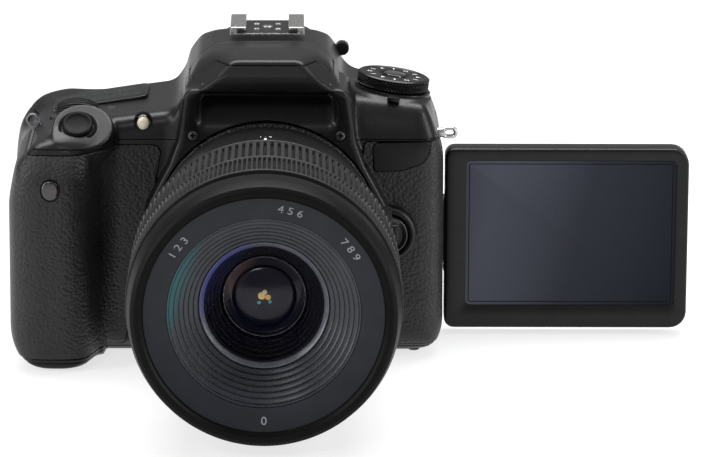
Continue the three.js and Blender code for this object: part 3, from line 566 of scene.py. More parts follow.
# The edge ring is light grey as a painted highlight, the bright circle at the glass edge, with a painted blue
# highlight towards the upper left.
EDGE_RING = finish("edge_ring", (0.09, 0.095, 0.115), 0.25, spec=0.5, grain=0.0005, grain_depth=0.000003)
tinted(EDGE_RING, (0.07, 0.08, 0.22), LENS_CENTRE, UP_LEFT, 0.010, 0.017)
# The inner rings carry a painted navy highlight towards the upper left.
INNER_RINGS = finish("inner_rings", (0.004, 0.004, 0.007), 0.22, spec=0.35, grain=0.0005, grain_depth=0.000002)
tinted(INNER_RINGS, (0.012, 0.013, 0.05), LENS_CENTRE, UP_LEFT, 0.010, 0.016)
# The inner coatings carry a painted warm reflection towards the upper left.
tinted(COATING, (0.10, 0.055, 0.05), LENS_CENTRE, UP_LEFT, 0.0065, 0.011)

# ------------------------------------------------------------------ mesh builders


def crisp(obj, degrees=32):
    obj.data.shade_smooth()
    obj.data.set_sharp_from_angle(angle=math.radians(degrees))
    return obj


def along_lens(u, v, w):
    """Lathe coordinates to the lens: w runs back from the flange."""
    return np.stack([u, FLANGE_Y + w, AXIS_Z + v], -1)


def facing_front(cx, cz, y):
    return lambda u, v, w: np.stack([cx + u, y - w, cz + v], -1)


def facing_back(cx, cz, y):
    return lambda u, v, w: np.stack([cx - u, y + w, cz + v], -1)


def running_back(cx, cz, y, tall=1.0):
    """w runs back into the camera, and v may be stretched."""
    return lambda u, v, w: np.stack([cx + u, y + w, cz + v * tall], -1)


def front_plane(u, v, w):
    return np.stack([u, -w, v], -1)


def facing(matrix):
    m = np.array(matrix)

    def go(u, v, w):
        p = np.stack([u, v, w], -1)
        return p @ m[:3, :3].T + m[:3, 3]

    return go


def upward(cx, cy, z):
    return lambda u, v, w: np.stack([cx + u, cy + v, z + w], -1)


def lathe(name, profile, place, material, n=128, shape=None, degrees=32, step=0.3):
    """Turns a closed [radius, height, fillet] profile. shape(r, h, angle) may add ribs."""
    ring = outline(profile, step)
    m = len(ring)
    angle = np.arange(n) * 2 * math.pi / n
    r = np.repeat(ring[None, :, 0], n, 0)
    h = np.repeat(ring[None, :, 1], n, 0)
    a = np.repeat(angle[:, None], m, 1)
    if shape:
        r, h = shape(r, h, a)
    p = place(r * np.cos(a), r * np.sin(a), h).reshape(-1, 3)
    i = np.arange(n)[:, None]
    j = np.arange(m)[None, :]
    i2, j2 = (i + 1) % n, (j + 1) % m
    quads = np.stack([i * m + j, i * m + j2 + 0 * i, i2 * m + j2, i2 * m + j], -1).reshape(-1, 4)
    obj = make_mesh(name, p, quads, material=material)
    tidy(obj)
    return crisp(obj, degrees)


def tidy(obj, merge=1e-7):
    bm = bmesh.new()
    bm.from_mesh(obj.data)
    bmesh.ops.remove_doubles(bm, verts=bm.verts, dist=merge)
    bmesh.ops.dissolve_degenerate(bm, edges=bm.edges, dist=merge)
    bmesh.ops.recalc_face_normals(bm, faces=bm.faces)
    bm.to_mesh(obj.data)
    bm.free()
    return obj


def teeth(angle, count, sharp=3.0, duty=0.5):
    """0 in the grooves, 1 on the ribs."""
    t = (angle * count / (2 * math.pi)) % 1.0
    return np.clip((duty / 2 - np.abs(t - 0.5)) * sharp * 2 + 0.5, 0, 1)


def inset(corners, d):
    out = []
    n = len(corners)
    area = sum(corners[i][0] * corners[(i + 1) % n][1] - corners[(i + 1) % n][0] * corners[i][1]
        for i in range(n))
    turn = 1 if area > 0 else -1
    for i, (x, y, r) in enumerate(corners):
        a = np.array(corners[i - 1][:2]) - (x, y)
        b = np.array(corners[(i + 1) % n][:2]) - (x, y)
        a, b = a / np.linalg.norm(a), b / np.linalg.norm(b)
        na = turn * np.array([a[1], -a[0]])
        nb = turn * np.array([-b[1], b[0]])
        k = 1 + na @ nb
        move = (na + nb) / max(k, 0.2) * d
        out.append((x + move[0], y + move[1], max(r - d, 0.02)))
    return out


def fixed_outline(corners, seg):
    """The same number of points per corner at every inset, so that levels join up."""
    pts = []
    for i, (_, _, r) in enumerate(corners):
        pts += arc_points(*arc_at(corners, i, max(r, 0.02), False), seg)
    return np.array(pts)


def prism(name, corners, levels, place, material, seg=6, loop=False, degrees=32):
    """Stacks insets of a rounded outline: levels are (height, inset). loop joins last to first."""
    rings = [fixed_outline(inset(corners, d), seg) for _, d in levels]
    m = len(rings[0])
    p = np.concatenate([place(r[:, 0], r[:, 1], np.full(m, h)) for r, (h, _) in zip(rings, levels)])
    faces = []
    count = len(levels)
    for k in range(count if loop else count - 1):
        a, b = k * m, ((k + 1) % count) * m
        for j in range(m):
            j2 = (j + 1) % m
            faces.append((a + j, a + j2, b + j2, b + j))
    if not loop:
        faces.append(tuple(range(m)))
        faces.append(tuple(range((count - 1) * m, count * m)))
    obj = make_mesh(name, p, faces, material=material)
    tidy(obj)
    return crisp(obj, degrees)


def rounded(w, h, r, cx=0.0, cz=0.0):
    return [(cx - w / 2, cz - h / 2, r), (cx + w / 2, cz - h / 2, r), (cx + w / 2, cz + h / 2, r),
        (cx - w / 2, cz + h / 2, r)]


def slab_levels(lo, hi, edge, steps=3):
    """Heights and insets of a plate with rolled edges top and bottom."""
    up = [(lo + edge * (1 - math.cos(a)), edge * (1 - math.sin(a)))
        for a in np.linspace(0, math.pi / 2, steps + 1)]
    return up + [(hi - (h - lo), d) for h, d in reversed(up)]


def blob(name, field, lo, hi, step, material):
    """A solid from its distance field."""
    p, quads = surface_nets(field, lo, hi, step)
    return make_mesh(name, p, quads, normals_of(field, p), material)


def eased(name, solid, edge, material, shift=(0, 0, 0), seg=2, degrees=30):
    """A CAD solid's own shape with its edges rolled."""
    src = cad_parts[solid]
    bm = bmesh.new()
    bm.from_mesh(src.data)
    bm.transform(Matrix.Translation(Vector(shift) * MM) @ src.matrix_world)
    bmesh.ops.remove_doubles(bm, verts=bm.verts, dist=1e-6)
    bmesh.ops.dissolve_limit(bm, angle_limit=math.radians(1.5), verts=bm.verts, edges=bm.edges)
    sharp = [e for e in bm.edges if len(e.link_faces) == 2 and e.calc_face_angle(0) > math.radians(degrees)]
    bmesh.ops.bevel(bm, geom=sharp, offset=edge * MM, segments=seg, affect="EDGES", clamp_overlap=True,
        profile=0.5)
    mesh = bpy.data.meshes.new(name)
    bm.to_mesh(mesh)
    bm.free()
    mesh.materials.append(material)
    obj = bpy.data.objects.new(name, mesh)
    bpy.context.scene.collection.objects.link(obj)
    return crisp(obj, 28)


def glyphs(text, size):
    """Flat outline characters as points and triangles, centred on the origin, in millimetres."""
    curve = bpy.data.curves.new("type", "FONT")
    curve.body = text
    curve.size = size
    curve.align_x = "CENTER"
    curve.align_y = "CENTER"
    curve.resolution_u = 3
    obj = bpy.data.objects.new("type", curve)
    bpy.context.scene.collection.objects.link(obj)
    bpy.context.view_layer.update()
    mesh = bpy.data.meshes.new_from_object(obj.evaluated_get(bpy.context.evaluated_depsgraph_get()))
    p = np.array([v.co[:] for v in mesh.vertices])
    faces = [tuple(f.vertices) for f in mesh.polygons]
    bpy.data.objects.remove(obj)
    bpy.data.curves.remove(curve)
    bpy.data.meshes.remove(mesh)
    return p, faces


QUAD = [(0, 1, 2, 3)]


def bar(half_u, half_v):
    """Corners of a flat printed bar."""
    return np.array([[-half_u, -half_v], [half_u, -half_v], [half_u, half_v], [-half_u, half_v]])


def spun(flat, angle, radius):
    """Flat marks moved out from a dial's centre and turned to an angle."""
    ca, sa = math.cos(angle), math.sin(angle)
    return (radius + flat[:, 1]) * ca - flat[:, 0] * sa, (radius + flat[:, 1]) * sa + flat[:, 0] * ca


def gather(name, chunks, material):
    """Joins several (points, faces) chunks in one piece."""
    points, faces, base = [], [], 0
    for p, f in chunks:
        points.append(p)
        faces += [tuple(i + base for i in face) for face in f]
        base += len(p)
    return make_mesh(name, np.concatenate(points), faces, material=material)


def hold(child, parent):
    child.parent = parent
    return child


# ------------------------------------------------------------------ body skins

SEAM = 0.13
TOP_SEAM_Z = 66.2
SPLIT_Y = -12.0


def rect(u, v, u0, u1, v0, v1, r=0.0):
    """Distance to a rounded rectangle in one plane."""
    a = np.abs(u - (u0 + u1) / 2) - (u1 - u0) / 2 + r
    b = np.abs(v - (v0 + v1) / 2) - (v1 - v0) / 2 + r
    return np.hypot(np.maximum(a, 0), np.maximum(b, 0)) + np.minimum(np.maximum(a, b), 0) - r


def top_seam(x, y, z):
    """Negative above the seam."""
    return TOP_SEAM_Z - z


def flash_zone(x, y, z):
    lift = np.interp(np.abs(x), [0, 14.5, 27, 27.4], [91.0, 91.0, 81.6, 200.0])
    return np.maximum((lift - z) * 0.85, y + 21.0)


def card_zone(x, y, z):
    return np.maximum(rect(y, z, -9.5, 4.6, 14.0, 52.0, 2.5), x + 66)


def terminal_zone(x, y, z):
    return np.maximum(rect(y, z, -24.6, -10.4, 10.0, 54.0, 2.0), 46 - x)


def battery_zone(x, y, z):
    return np.maximum(rect(x, y, -69.8, -54.6, -46.0, -13.4, 1.5), z - 3)


def finder_zone(x, y, z):
    return np.maximum(rect(x, z, -10.6, 10.6, 73.4, 86.6, 1.5), 4 - y)


def mount_zone(x, y, z):
    return np.hypot(x, z - AXIS_Z) - 33.1


def on_panel(x, y, z):
    return panel_field(x, y, z) - body_field(x, y, z)


def grip_zone(x, y, z):
    edge = smax(x + 31.2 + np.maximum(62 - z, 0) * 0.19, z - 64.6, 3.0)
    return smax(smax(edge, 3.4 - z, 1.5), y + 14.0, 1.5)


BADGE = [(31.6, 56.6, 0.6), (40.0, 56.9, 3.0), (47.4, 59.6, 6.5), (48.6, 65.6, 0.6), (31.2, 65.1, 1.6)]
BADGE_PROFILE = Profile(BADGE)


def badge_zone(x, y, z):
    return np.maximum(BADGE_PROFILE(x, z), y + 28)


def side_zone(x, y, z):
    edge = smax(28.5 - x, z - 65.6, 1.5)
    return smax(smax(edge, 3.4 - z, 1.5), y + 27.0, 1.5)


def outside(*zones):
    """The region clear of some zones, with half a seam kept off each."""

    def region(x, y, z):
        out = -1e3
        for zone in zones:
            out = np.maximum(out, SEAM - zone(x, y, z))
        return out

    return region


def inside(zone):
    return lambda x, y, z: zone(x, y, z) + SEAM


def both(*regions):
    return lambda x, y, z: np.maximum.reduce([np.broadcast_arrays(x * 1.0, r(x, y, z))[1] for r in regions])


STEP = 0.65
whole = surface_nets(camera_field, (-78, -54, -2), (55, 17, 99), STEP)
whole = (whole[0], triangles(whole[1]))

off_panel = lambda x, y, z: -on_panel(x, y, z) + 0.02
lower = lambda x, y, z: np.maximum(z - TOP_SEAM_Z + SEAM, 2.15 + SEAM - z)

INNER_LIP = dict(ridge=0.6, sink=-0.3)
tripod_hole = lambda x, y, z: np.hypot(x, y + 20) - 4.2
ahead_of_split = lambda x, y, z: y - SPLIT_Y + SEAM
behind_split = lambda x, y, z: SPLIT_Y + SEAM - y
under_base_seam = lambda x, y, z: z - 2.15 + SEAM
SKINS = (("top_cover_skin", "camera_body", "shell_plastic", "top_cover", both(inside(top_seam),
    outside(flash_zone, finder_zone), off_panel), SHELL, {}), ("front_cover_skin", "camera_body",
    "shell_plastic", "front_cover", both(lower, ahead_of_split,
    outside(grip_zone, side_zone, badge_zone, terminal_zone), off_panel), SHELL, {}), ("rear_cover_skin",
    "camera_body", "shell_plastic", "rear_cover", both(lower, behind_split, outside(card_zone, terminal_zone)),
    SHELL, {}), ("base_plate_skin", "camera_body", "shell_plastic", "base_plate", both(under_base_seam,
    outside(battery_zone, tripod_hole), off_panel), SHELL, {}), ("mount_panel_skin", "camera_body",
    "shell_plastic", "mount_panel", both(on_panel, outside(mount_zone)), PANEL_MAT, dict(lip=2.4, ridge=0.25)),
    ("grip_rubber_skin", "camera_body", "rubber", "grip_rubber", both(inside(grip_zone), off_panel), GRIP,
    INNER_LIP), ("side_rubber_skin", "camera_body", "rubber", "side_rubber", both(inside(side_zone),
    outside(badge_zone, terminal_zone), off_panel), GRIP, INNER_LIP), ("name_badge_plate", "camera_body",
    "gloss_plastic", "name_badge", inside(badge_zone), PANEL_MAT, dict(ridge=0.45, sink=-0.45)),
    ("card_door_skin", "card_door", "shell_plastic", "card_door", inside(card_zone), SHELL, dict(ridge=0.4)),
    ("terminal_cover_skin", "terminal_cover", "rubber", "terminal_cover", inside(terminal_zone), SOFT,
    dict(ridge=0.4)), ("battery_door_skin", "battery_door", "shell_plastic", "battery_door",
    inside(battery_zone), SHELL, dict(ridge=0.3)), ("flash_head_skin", "flash", "shell_plastic", "flash_head",
    both(inside(flash_zone), off_panel), SHELL, dict(ridge=0.4)))
skins = {}
for name, body, slot, replaced, region, material, style in SKINS:
    skin = panel_piece(name, whole, camera_field, region, material, **style)
    skins[replaced] = put(skin, body, slot, replaced)
top_cover, front_cover, rear_cover = skins["top_cover"], skins["front_cover"], skins["rear_cover"]
base_plate, panel, flash = skins["base_plate"], skins["mount_panel"], skins["flash_head"]


def liner_field(x, y, z):
    f = camera_field(x, y, z) + 1.95
    f = np.maximum(f, 0.6 - flash_zone(x, y, z))
    f = np.maximum(f, -mount_zone(x, y, z))
    for lo, hi in (((-69.6, -45.8, -2), (-54.8, -13.6, 50)), ((-90, -9.0, 14.6), (-72.0, 4.2, 51.4)),
        ((49.4, -24.2, 10.4), (90, -10.8, 53.6)), ((-10.6, 6, 73.4), (10.6, 40, 86.6)),
        ((-4.4, -24.4, -2), (4.4, -15.6, 12))):
        f = np.maximum(f, -box3(x, y, z, lo, hi))
    for centre, radius in (((-55.4, -41.3, 70.6), 7.0), ((-62.0, -18.0, 70.2), 3.6),
        ((-54.0, -18.0, 71.2), 3.6), ((-46.0, -18.0, 72.2), 3.6)):
        f = np.maximum(f, radius - np.sqrt((x - centre[0]) ** 2 + (y - centre[1]) ** 2 + (z - centre[2]) ** 2))
    return f


def flash_core(x, y, z):
    return np.maximum(camera_field(x, y, z) + 1.3, flash_zone(x, y, z) + 0.35)


hold(blob("inner_liner", liner_field, (-77, -53, -1), (54, 16, 99), 1.6, VOID), top_cover)
hold(blob("flash_core", flash_core, (-30, -50, 60), (30, -18, 99), 1.0, VOID), flash)

# flash lamp window, inside the head's lower front edge
window = prism("flash_window_lens", rounded(27.6, 4.6, 1.0, 0, 87.6), slab_levels(33.4, 41.6, 0.5), front_plane,
    LAMP)
put(window, "flash", "lamp_diffuser", "flash_window")


# ------------------------------------------------------------------ lens


def lens_lathe(name, profile, material, n=192, shape=None, degrees=32):
    return lathe(name, profile, along_lens, material, n, shape, degrees)


def grooves(count, first, last, depth, duty):
    """Lengthwise slots between two depths along the lens."""

    def shape(r, h, a):
        ribbed = (h <= first) & (h >= last) & (r > 36)
        return np.where(ribbed, r - depth * (1 - teeth(a, count, 4.0, duty)), r), h

    return shape


barrel = lens_lathe("lens_barrel_shell", [(30, -2.8, 0.2), (32.4, -2.8, 0.6), (33.4, -7, 3), (33.8, -14, 6),
    (36.5, -33, 6), (37.3, -41.3, 0.5), (35.0, -41.5, 0.1), (34.7, -41.8, 0.1), (34.7, -84.2, 0.2),
    (33.3, -84.2, 0.2), (33.3, -16, 0.2), (30, -14, 0.2)], LENS_SHELL)
put(barrel, "lens", "lens_plastic", "lens_barrel")


def on_side(u, v, w):
    """A plate on the lens's side: u back from the flange, v up from the axis, w out."""
    return np.stack([w, FLANGE_Y + u, AXIS_Z + v], -1)


hold(prism("switch_boss", [(-37, -10, 3), (-13, -10, 3), (-13, 12, 3), (-37, 12, 3)],
    slab_levels(30.5, 36.4, 0.9), on_side, LENS_SHELL), barrel)
for label, z, body in (("focus_switch", 7.0, "focus_switch"), ("stabilizer_switch", -5.0, "stabilizer_switch")):
    hold(prism(label + "_slot", rounded(10.6, 5.2, 1.0, -25, z), slab_levels(36.0, 36.5, 0.1, 1), on_side,
        VOID), barrel)
    knob = prism(label + "_knob", rounded(3.8, 4.2, 0.5, -26.4, z), slab_levels(35.4, 38.0, 0.35), on_side,
        LENS_SHELL)
    for k in (-1.1, 0, 1.1):
        hold(prism(f"{label}_rib_{int(k * 10 + 20)}", rounded(0.5, 3.8, 0.15, -26.4 + k, z),
            slab_levels(37.8, 38.3, 0.12, 1), on_side, LENS_SHELL), knob)
    put(knob, body, "lens_plastic", label)

ZOOM_RIBS, FOCUS_RIBS = 120, 176
zoom_ring = lens_lathe("zoom_ring_grip", [(35.0, -42.1, 0.1), (37.3, -42.1, 0.4), (37.3, -47.6, 0),
    (38.40, -47.9, 0), (38.40, -48.2, 0), (38.40, -48.4, 0), (38.40, -65.0, 0), (38.40, -65.2, 0),
    (38.40, -66.4, 0.35), (35.0, -66.4, 0.1)], RIBS, ZOOM_RIBS * 8,
    grooves(ZOOM_RIBS, -48.35, -65.05, 1.1, 0.66), 50)
put(zoom_ring, "zoom_ring", "ring_rubber", "zoom_ring")
focus_ring = lens_lathe("focus_ring_grip", [(35.0, -67.0, 0.1), (38.55, -67.0, 0.35), (38.55, -67.9, 0),
    (38.55, -68.1, 0), (38.55, -81.8, 0), (38.55, -82.0, 0), (38.55, -83.1, 0.35), (35.0, -83.1, 0.1)], RIBS,
    FOCUS_RIBS * 6, grooves(FOCUS_RIBS, -68.05, -81.85, 0.9, 0.58), 50)
put(focus_ring, "focus_ring", "ring_rubber", "focus_ring")


SCALE_RADIUS, PRINT_RADIUS, TICK_RADIUS = 37.36, 37.25, 37.2


def on_barrel(radius, angle, h):
    return along_lens(radius * np.cos(angle), radius * np.sin(angle), h)


marks = []
for focal, degrees in ((20, 118), (28, 107), (40, 96), (60, 85), (90, 72), (120, 58)):
    p, faces = glyphs(str(focal), 2.2)
    marks.append((on_barrel(SCALE_RADIUS, math.radians(degrees) - p[:, 0] / SCALE_RADIUS, p[:, 1] - 45.0),
        faces))
hold(gather("zoom_scale", marks, INK_GREY), zoom_ring)
p, faces = glyphs("1 - 9", 2.0)
tick = math.pi / 2 + np.array([-0.01, 0.01, 0.01, -0.01])
tick_lift = np.array([0.1, 0.1, -0.05, -0.05])
hold(gather("zoom_index", [(on_barrel(PRINT_RADIUS, math.pi / 2 - p[:, 0] / TICK_RADIUS, p[:, 1] - 37.0),
    faces), (along_lens(TICK_RADIUS * np.cos(tick), TICK_RADIUS * np.sin(tick) + tick_lift,
    np.array([-41, -41, -38.4, -38.4])), QUAD)], INK), barrel)

thread = []
for k in range(7):
    thread += [(33.45, -96.1 + k * 0.55, 0), (33.9, -95.83 + k * 0.55, 0)]
filter_ring = lens_lathe("filter_ring", [(31.6, -20, 0.2), (32.9, -20, 0.2), (32.9, -84.9, 0.2),
    (37.3, -84.9, 0.3), (38.1, -86.2, 1.2), (37.8, -91.6, 3), (36.8, -96.0, 0.6), (35.6, -96.9, 0.25),
    (34.2, -96.9, 0.25)] + thread + [(33.5, -92.0, 0.1), (31.6, -92.0, 0.1)], RIM, 256)
put(filter_ring, "zoom_barrel", "lens_plastic", "zoom_barrel")
BAND_OUT, BAND_IN = (33.35, -94.6), (26.9, -92.5)
name_ring = lens_lathe("name_ring_band", [BAND_OUT + (0.12,), (27.3, -92.65, 0), BAND_IN + (0.1,),
    (26.9, -91.9, 0.1), (33.35, -93.2, 0.1)], SLATE, 256)
put(name_ring, "zoom_barrel", "lens_plastic", "name_ring")
steps = []
STEPS = 7
for k in range(STEPS):
    share = k / STEPS
    radius = 26.8 - 9.2 * share
    depth = -92.2 + 9.4 * share
    steps += [(radius, depth, 0.08), (radius - 0.5, depth + 0.15, 0.12), (radius - 0.75, depth + 1.0, 0.08)]
baffle = lens_lathe("light_baffle", steps + [(17.3, -82.2, 0.1), (17.2, -70, 0.2), (18.6, -70, 0.2),
    (19.6, -81, 0.3), (26.9, -90.6, 0.3)], LENS_RINGS, 256)
hold(baffle, name_ring)


def on_band(u, v, start, radius):
    """Flat print laid on the sloping band inside the filter thread."""
    r = radius + v
    a = start - u / radius
    slope = (BAND_OUT[1] - BAND_IN[1]) / (BAND_OUT[0] - BAND_IN[0])
    return along_lens(r * np.cos(a), r * np.sin(a), BAND_IN[1] + (r - BAND_IN[0]) * slope - 0.05)


ring_marks = []
for text, degrees in (("1 2 3", 141), ("4 5 6", 76), ("7 8 9", 38), ("0", -90)):
    p, faces = glyphs(text, 3.1)
    ring_marks.append((on_band(p[:, 0] * 1.12, p[:, 1], math.radians(degrees), 30.1), faces))
hold(gather("ring_print", ring_marks, INK_GREY), name_ring)


def cap(radius, sag, h, n=9):
    """Profile points of a spherical cap from the axis outwards."""
    big = (radius**2 + sag**2) / (2 * sag)
    r = np.linspace(0, radius, n)
    return [(float(t), float(h + big - math.sqrt(big * big - t * t)), 0) for t in r]


glass = lens_lathe("front_glass", cap(17.0, 5.0, -86.3) + [(17.0, -80.2, 0)] + [(r, h, 0) for r, h,
    _ in reversed(cap(16.2, 2.6, -83.6))], GLASS, 160, degrees=40)
put(glass, "zoom_barrel", "optical_glass", "front_element")
inner = []
for k in range(5):
    radius = 16.5 - k * 0.95
    inner += [(radius, -81.6 + k * 1.7, 0.06), (radius - 0.22, -81.75 + k * 1.7, 0.05),
        (radius - 0.44, -81.5 + k * 1.7, 0.06), (radius - 0.6, -80.4 + k * 1.7, 0.1)]
hold(lens_lathe("edge_ring", [(16.7, -82.5, 0.1), (17.9, -83.6, 0.15), (18.1, -83.2, 0.1), (17.8, -80.5, 0),
    (16.7, -80.5, 0)], EDGE_RING, 200), name_ring)
hold(lens_lathe("inner_rings", inner + [(11.6, -71, 0.1), (16.6, -71, 0.2)], INNER_RINGS, 160), glass)
# A bright steel ring inside the glass stands for the thin bright circle seen there: painted highlight.
edge = [(11.3, -73.7, 0.04), (11.42, -73.85, 0.04), (11.54, -73.7, 0.04), (11.6, -73, 0.05), (11.3, -73, 0.05)]
hold(lens_lathe("bright_edge", edge, STEEL, 160), glass)
hold(lens_lathe("inner_edge", [(r - 2.55, h - 0.35, f) for r, h, f in edge], RIM, 160), glass)
hold(lens_lathe("second_element", cap(8.7, 1.7, -75.0) + [(8.8, -73.2, 0.1), (11.5, -72.6, 0.2),
    (11.5, -70.6, 0), (0, -70.2, 0)], COATING, 128, degrees=40), glass)
# Painted reflections: small discs behind the glass stand for coloured glints; the pale one uses the lamp diffuser
# finish.
for label, u, v, radius, material in (("gold", -0.7, 0.5, 1.25, GOLD), ("gold_right", 1.0, 0.1, 0.95, GOLD),
    ("pale", 0.1, 1.5, 0.8, LAMP), ("teal", 1.5, -1.2, 0.55, TEAL), ("teal_left", -1.5, -1.4, 0.6, TEAL)):
    hold(lathe(label + "_reflection", [(0, -0.12 * radius, 0), (radius * 0.7, -0.08 * radius, radius * 0.4),
        (radius, 0.2, 0), (0, 0.3, 0)], lambda a, b, w: along_lens(a + u, b + v, w - 75.0), material, 32),
        glass)

# ------------------------------------------------------------------ mount and release

RELEASE = (36.0, 38.2)
release = lathe("release_button", [(0, 0.4, 0), (4.4, 0.2, 2), (5.5, -0.2, 0.3), (5.9, 0.9, 0.3), (5.9, 5, 0.2),
    (0, 5, 0)], running_back(*RELEASE, -38.9), GLOSS, 96)
put(release, "lens_release", "gloss_plastic", "lens_release")
hold(lathe("release_collar", [(6.15, -38.3, 0.3), (7.0, -38.9, 0.5), (8.1, -38.2, 1.0), (8.6, -34, 0.4),
    (6.15, -34, 0.2)], running_back(*RELEASE, 0), PANEL_MAT, 96), front_cover)


def screw(name, place, radius, parent, material=DARK_METAL):
    """A pan-head screw with a crossed recess."""
    n, rings = 64, 12
    a = np.arange(n) * 2 * math.pi / n
    r = np.linspace(0.001, radius, rings)
    aa, rr = np.meshgrid(a, r, indexing="ij")
    u, v = rr * np.cos(aa), rr * np.sin(aa)
    arm = radius * 0.16
    cross = (np.minimum(np.abs(u), np.abs(v)) < arm) & (np.maximum(np.abs(u), np.abs(v)) < radius * 0.6)
    w = 0.28 - 0.16 * (rr / radius) ** 4 - np.where(cross, 0.3, 0) - np.where(rr > radius * 0.97, 0.3, 0)
    p = place(u, v, w).reshape(-1, 3)
    i, j = np.arange(n)[:, None], np.arange(rings - 1)[None, :]
    i2 = (i + 1) % n
    quads = np.stack([i * rings + j, i * rings + j + 1, i2 * rings + j + 1, i2 * rings + j], -1).reshape(-1, 4)
    obj = make_mesh(name, p, quads, material=material)
    tidy(obj)
    crisp(obj, 40)
    # Black sheets laid in the crossed recess: painted shade.
    bars = []
    for along, across in ((0.58, 0.15), (0.15, 0.58)):
        q = bar(along, across) * radius
        bars.append((place(q[:, 0], q[:, 1], np.full(4, 0.08)), QUAD))
    hold(gather(name + "_recess_painted_shade", bars, VOID), obj)
    return hold(obj, parent)


def pit(name, place, radius, parent, depth=0.35, material=VOID):
    """A small dark well with a rolled rim."""
    return hold(lathe(name, [(0, -depth, 0), (radius * 0.8, -depth, 0.05), (radius, 0.02, 0.03),
        (radius * 1.1, 0.0, 0.02), (radius, -depth * 1.4, 0), (0, -depth * 1.4, 0)], place, material, 24),
        parent)


for sx in (-1, 1):
    screw(f"panel_screw_{sx + 1}", facing_front(sx * 21.6, 69.2, -42.75), 1.45, panel)
    hold(lathe(f"panel_screw_seat_{sx + 1}", [(1.5, -0.1, 0), (1.8, 0.12, 0.03), (1.95, 0.02, 0.03),
        (1.95, -0.3, 0), (1.5, -0.3, 0)], facing_front(sx * 21.6, 69.2, -42.7), VOID, 48), panel)


def surface_y(x, z, start=-60.0):
    """Where a line running back at x, z first meets the camera."""
    y = start
    for _ in range(200):
        d = float(camera_field(np.array(x), np.array(y), np.array(z)))
        if d < 0.01:
            break
        y += max(0.02, 0.8 * d)
    return y


for k, (dx, dz) in enumerate(((-0.7, 0.7), (0.7, 0.7), (-0.7, -0.7), (0.7, -0.7))):
    pit(f"mic_hole_{k}", facing_front(31.2 + dx, 70.8 + dz, surface_y(31.2 + dx, 70.8 + dz) - 0.02), 0.3,
        top_cover)
for k, z in enumerate((63.4, 59.6)):
    y = surface_y(29.2, z)
    hold(prism(f"side_slot_{k}", rounded(0.9, 1.9, 0.2, 29.2, z), slab_levels(-y - 0.4, -y + 0.12, 0.05, 1),
        front_plane, VOID), front_cover)

# ------------------------------------------------------------------ top controls

shutter_frame = Matrix.Translation((-55.4, -41.3, 71.5)) @ Matrix.Rotation(0.64, 4, "X")
shutter = lathe("shutter_button_cap", [(0, 1.1, 0), (3.0, 1.25, 3), (4.0, 1.7, 0.5), (4.55, 1.2, 0.35),
    (4.6, -1.3, 0.2), (0, -1.3, 0)], facing(shutter_frame), RIM, 96)
put(shutter, "shutter_button", "gloss_plastic", "shutter_button")
hold(lathe("shutter_bezel", [(4.7, -1, 0), (4.7, 0.1, 0.05), (5.0, 0.45, 0.15), (5.7, 0.25, 0.2), (5.9, -1, 0)],
    facing(shutter_frame), VOID, 96), top_cover)


def dial_teeth(count, depth, radius):
    def shape(r, h, a):
        return np.where(r > radius - 0.6, r - depth * (1 - teeth(a, count, 2.2, 0.55)), r), h

    return shape


main_dial = lathe("main_dial_wheel", [(1.2, -6.0, 0.1), (4.4, -6.0, 0.3), (5.7, -3.4, 1.5), (6.3, 0, 3),
    (5.7, 3.4, 1.5), (4.4, 6.0, 0.3), (1.2, 6.0, 0.1)], lambda u, v,
    w: np.stack([-56.0 + w, -29.4 + u, 71.4 + v], -1), RIBS, 40 * 8, dial_teeth(40, 0.5, 4.6), 40)
put(main_dial, "main_dial", "dark_metal", "main_dial")

mode_frame = Matrix.Translation((37.0, -15.0, MODE_Z)) @ Matrix.Rotation(0.14, 4, "Y")
mode_at = facing(mode_frame)
KNURL = 64


def knurl(r, h, a):
    """Crossed slanting grooves round the dial's wall."""

    def wave(t):
        return np.abs((t % 1.0) - 0.5) * 2

    slope = h / 1.1
    d = np.minimum(wave(a * KNURL / (2 * math.pi) + slope), wave(a * KNURL / (2 * math.pi) - slope))
    wall = (r > 10.2) & (h > 2.75) & (h < 5.6)
    return np.where(wall, r - 0.5 * np.clip(1 - d * 1.6, 0, 1), r), h


wall_rows = [(10.7, float(h), 0) for h in np.linspace(2.7, 5.65, 13)]
mode_dial = lathe("mode_dial_wheel", [(3.5, 2.3, 0.1), (10.3, 2.3, 0.2)] + wall_rows + [(10.2, 6.0, 0.25),
    (9.2, 6.05, 0.2), (8.9, 5.85, 0.2), (4.6, 5.85, 0.2), (4.2, 5.4, 0.1), (3.5, 5.4, 0.1)], mode_at,
    LENS_SHELL, KNURL * 8, knurl, 50)
put(mode_dial, "mode_dial", "lens_plastic", "mode_dial")
dial_marks = []
MARK_RADIUS = 7.3
for k in range(12):
    if k % 4 == 0:
        flat = np.array([[-0.7, -0.7], [0.7, -0.7], [0.0, 0.8]])
        faces = [(0, 1, 2)]
    elif k % 4 == 2:
        t = np.linspace(0, 2 * math.pi, 17)[:-1]
        circle = np.stack([np.cos(t), np.sin(t)], 1)
        flat = np.concatenate([circle * 0.75, circle * 0.5])
        faces = [(i, (i + 1) % 16, 16 + (i + 1) % 16, 16 + i) for i in range(16)]
    else:
        flat, faces = bar(0.22, 0.9), QUAD
    u, v = spun(flat, k * math.pi / 6, MARK_RADIUS)
    dial_marks.append((mode_at(u, v, np.full(len(u), 5.89)), faces))
hold(gather("mode_marks", dial_marks, INK), mode_dial)
mode_lock = lathe("mode_lock_cap", [(0, 6.35, 0), (2.2, 6.3, 1), (3.1, 6.05, 0.3), (3.25, 5.2, 0.2),
    (3.25, 3.8, 0.1), (0, 3.8, 0)], mode_at, GLOSS, 64)
put(mode_lock, "mode_dial_lock", "gloss_plastic", "mode_dial_lock")
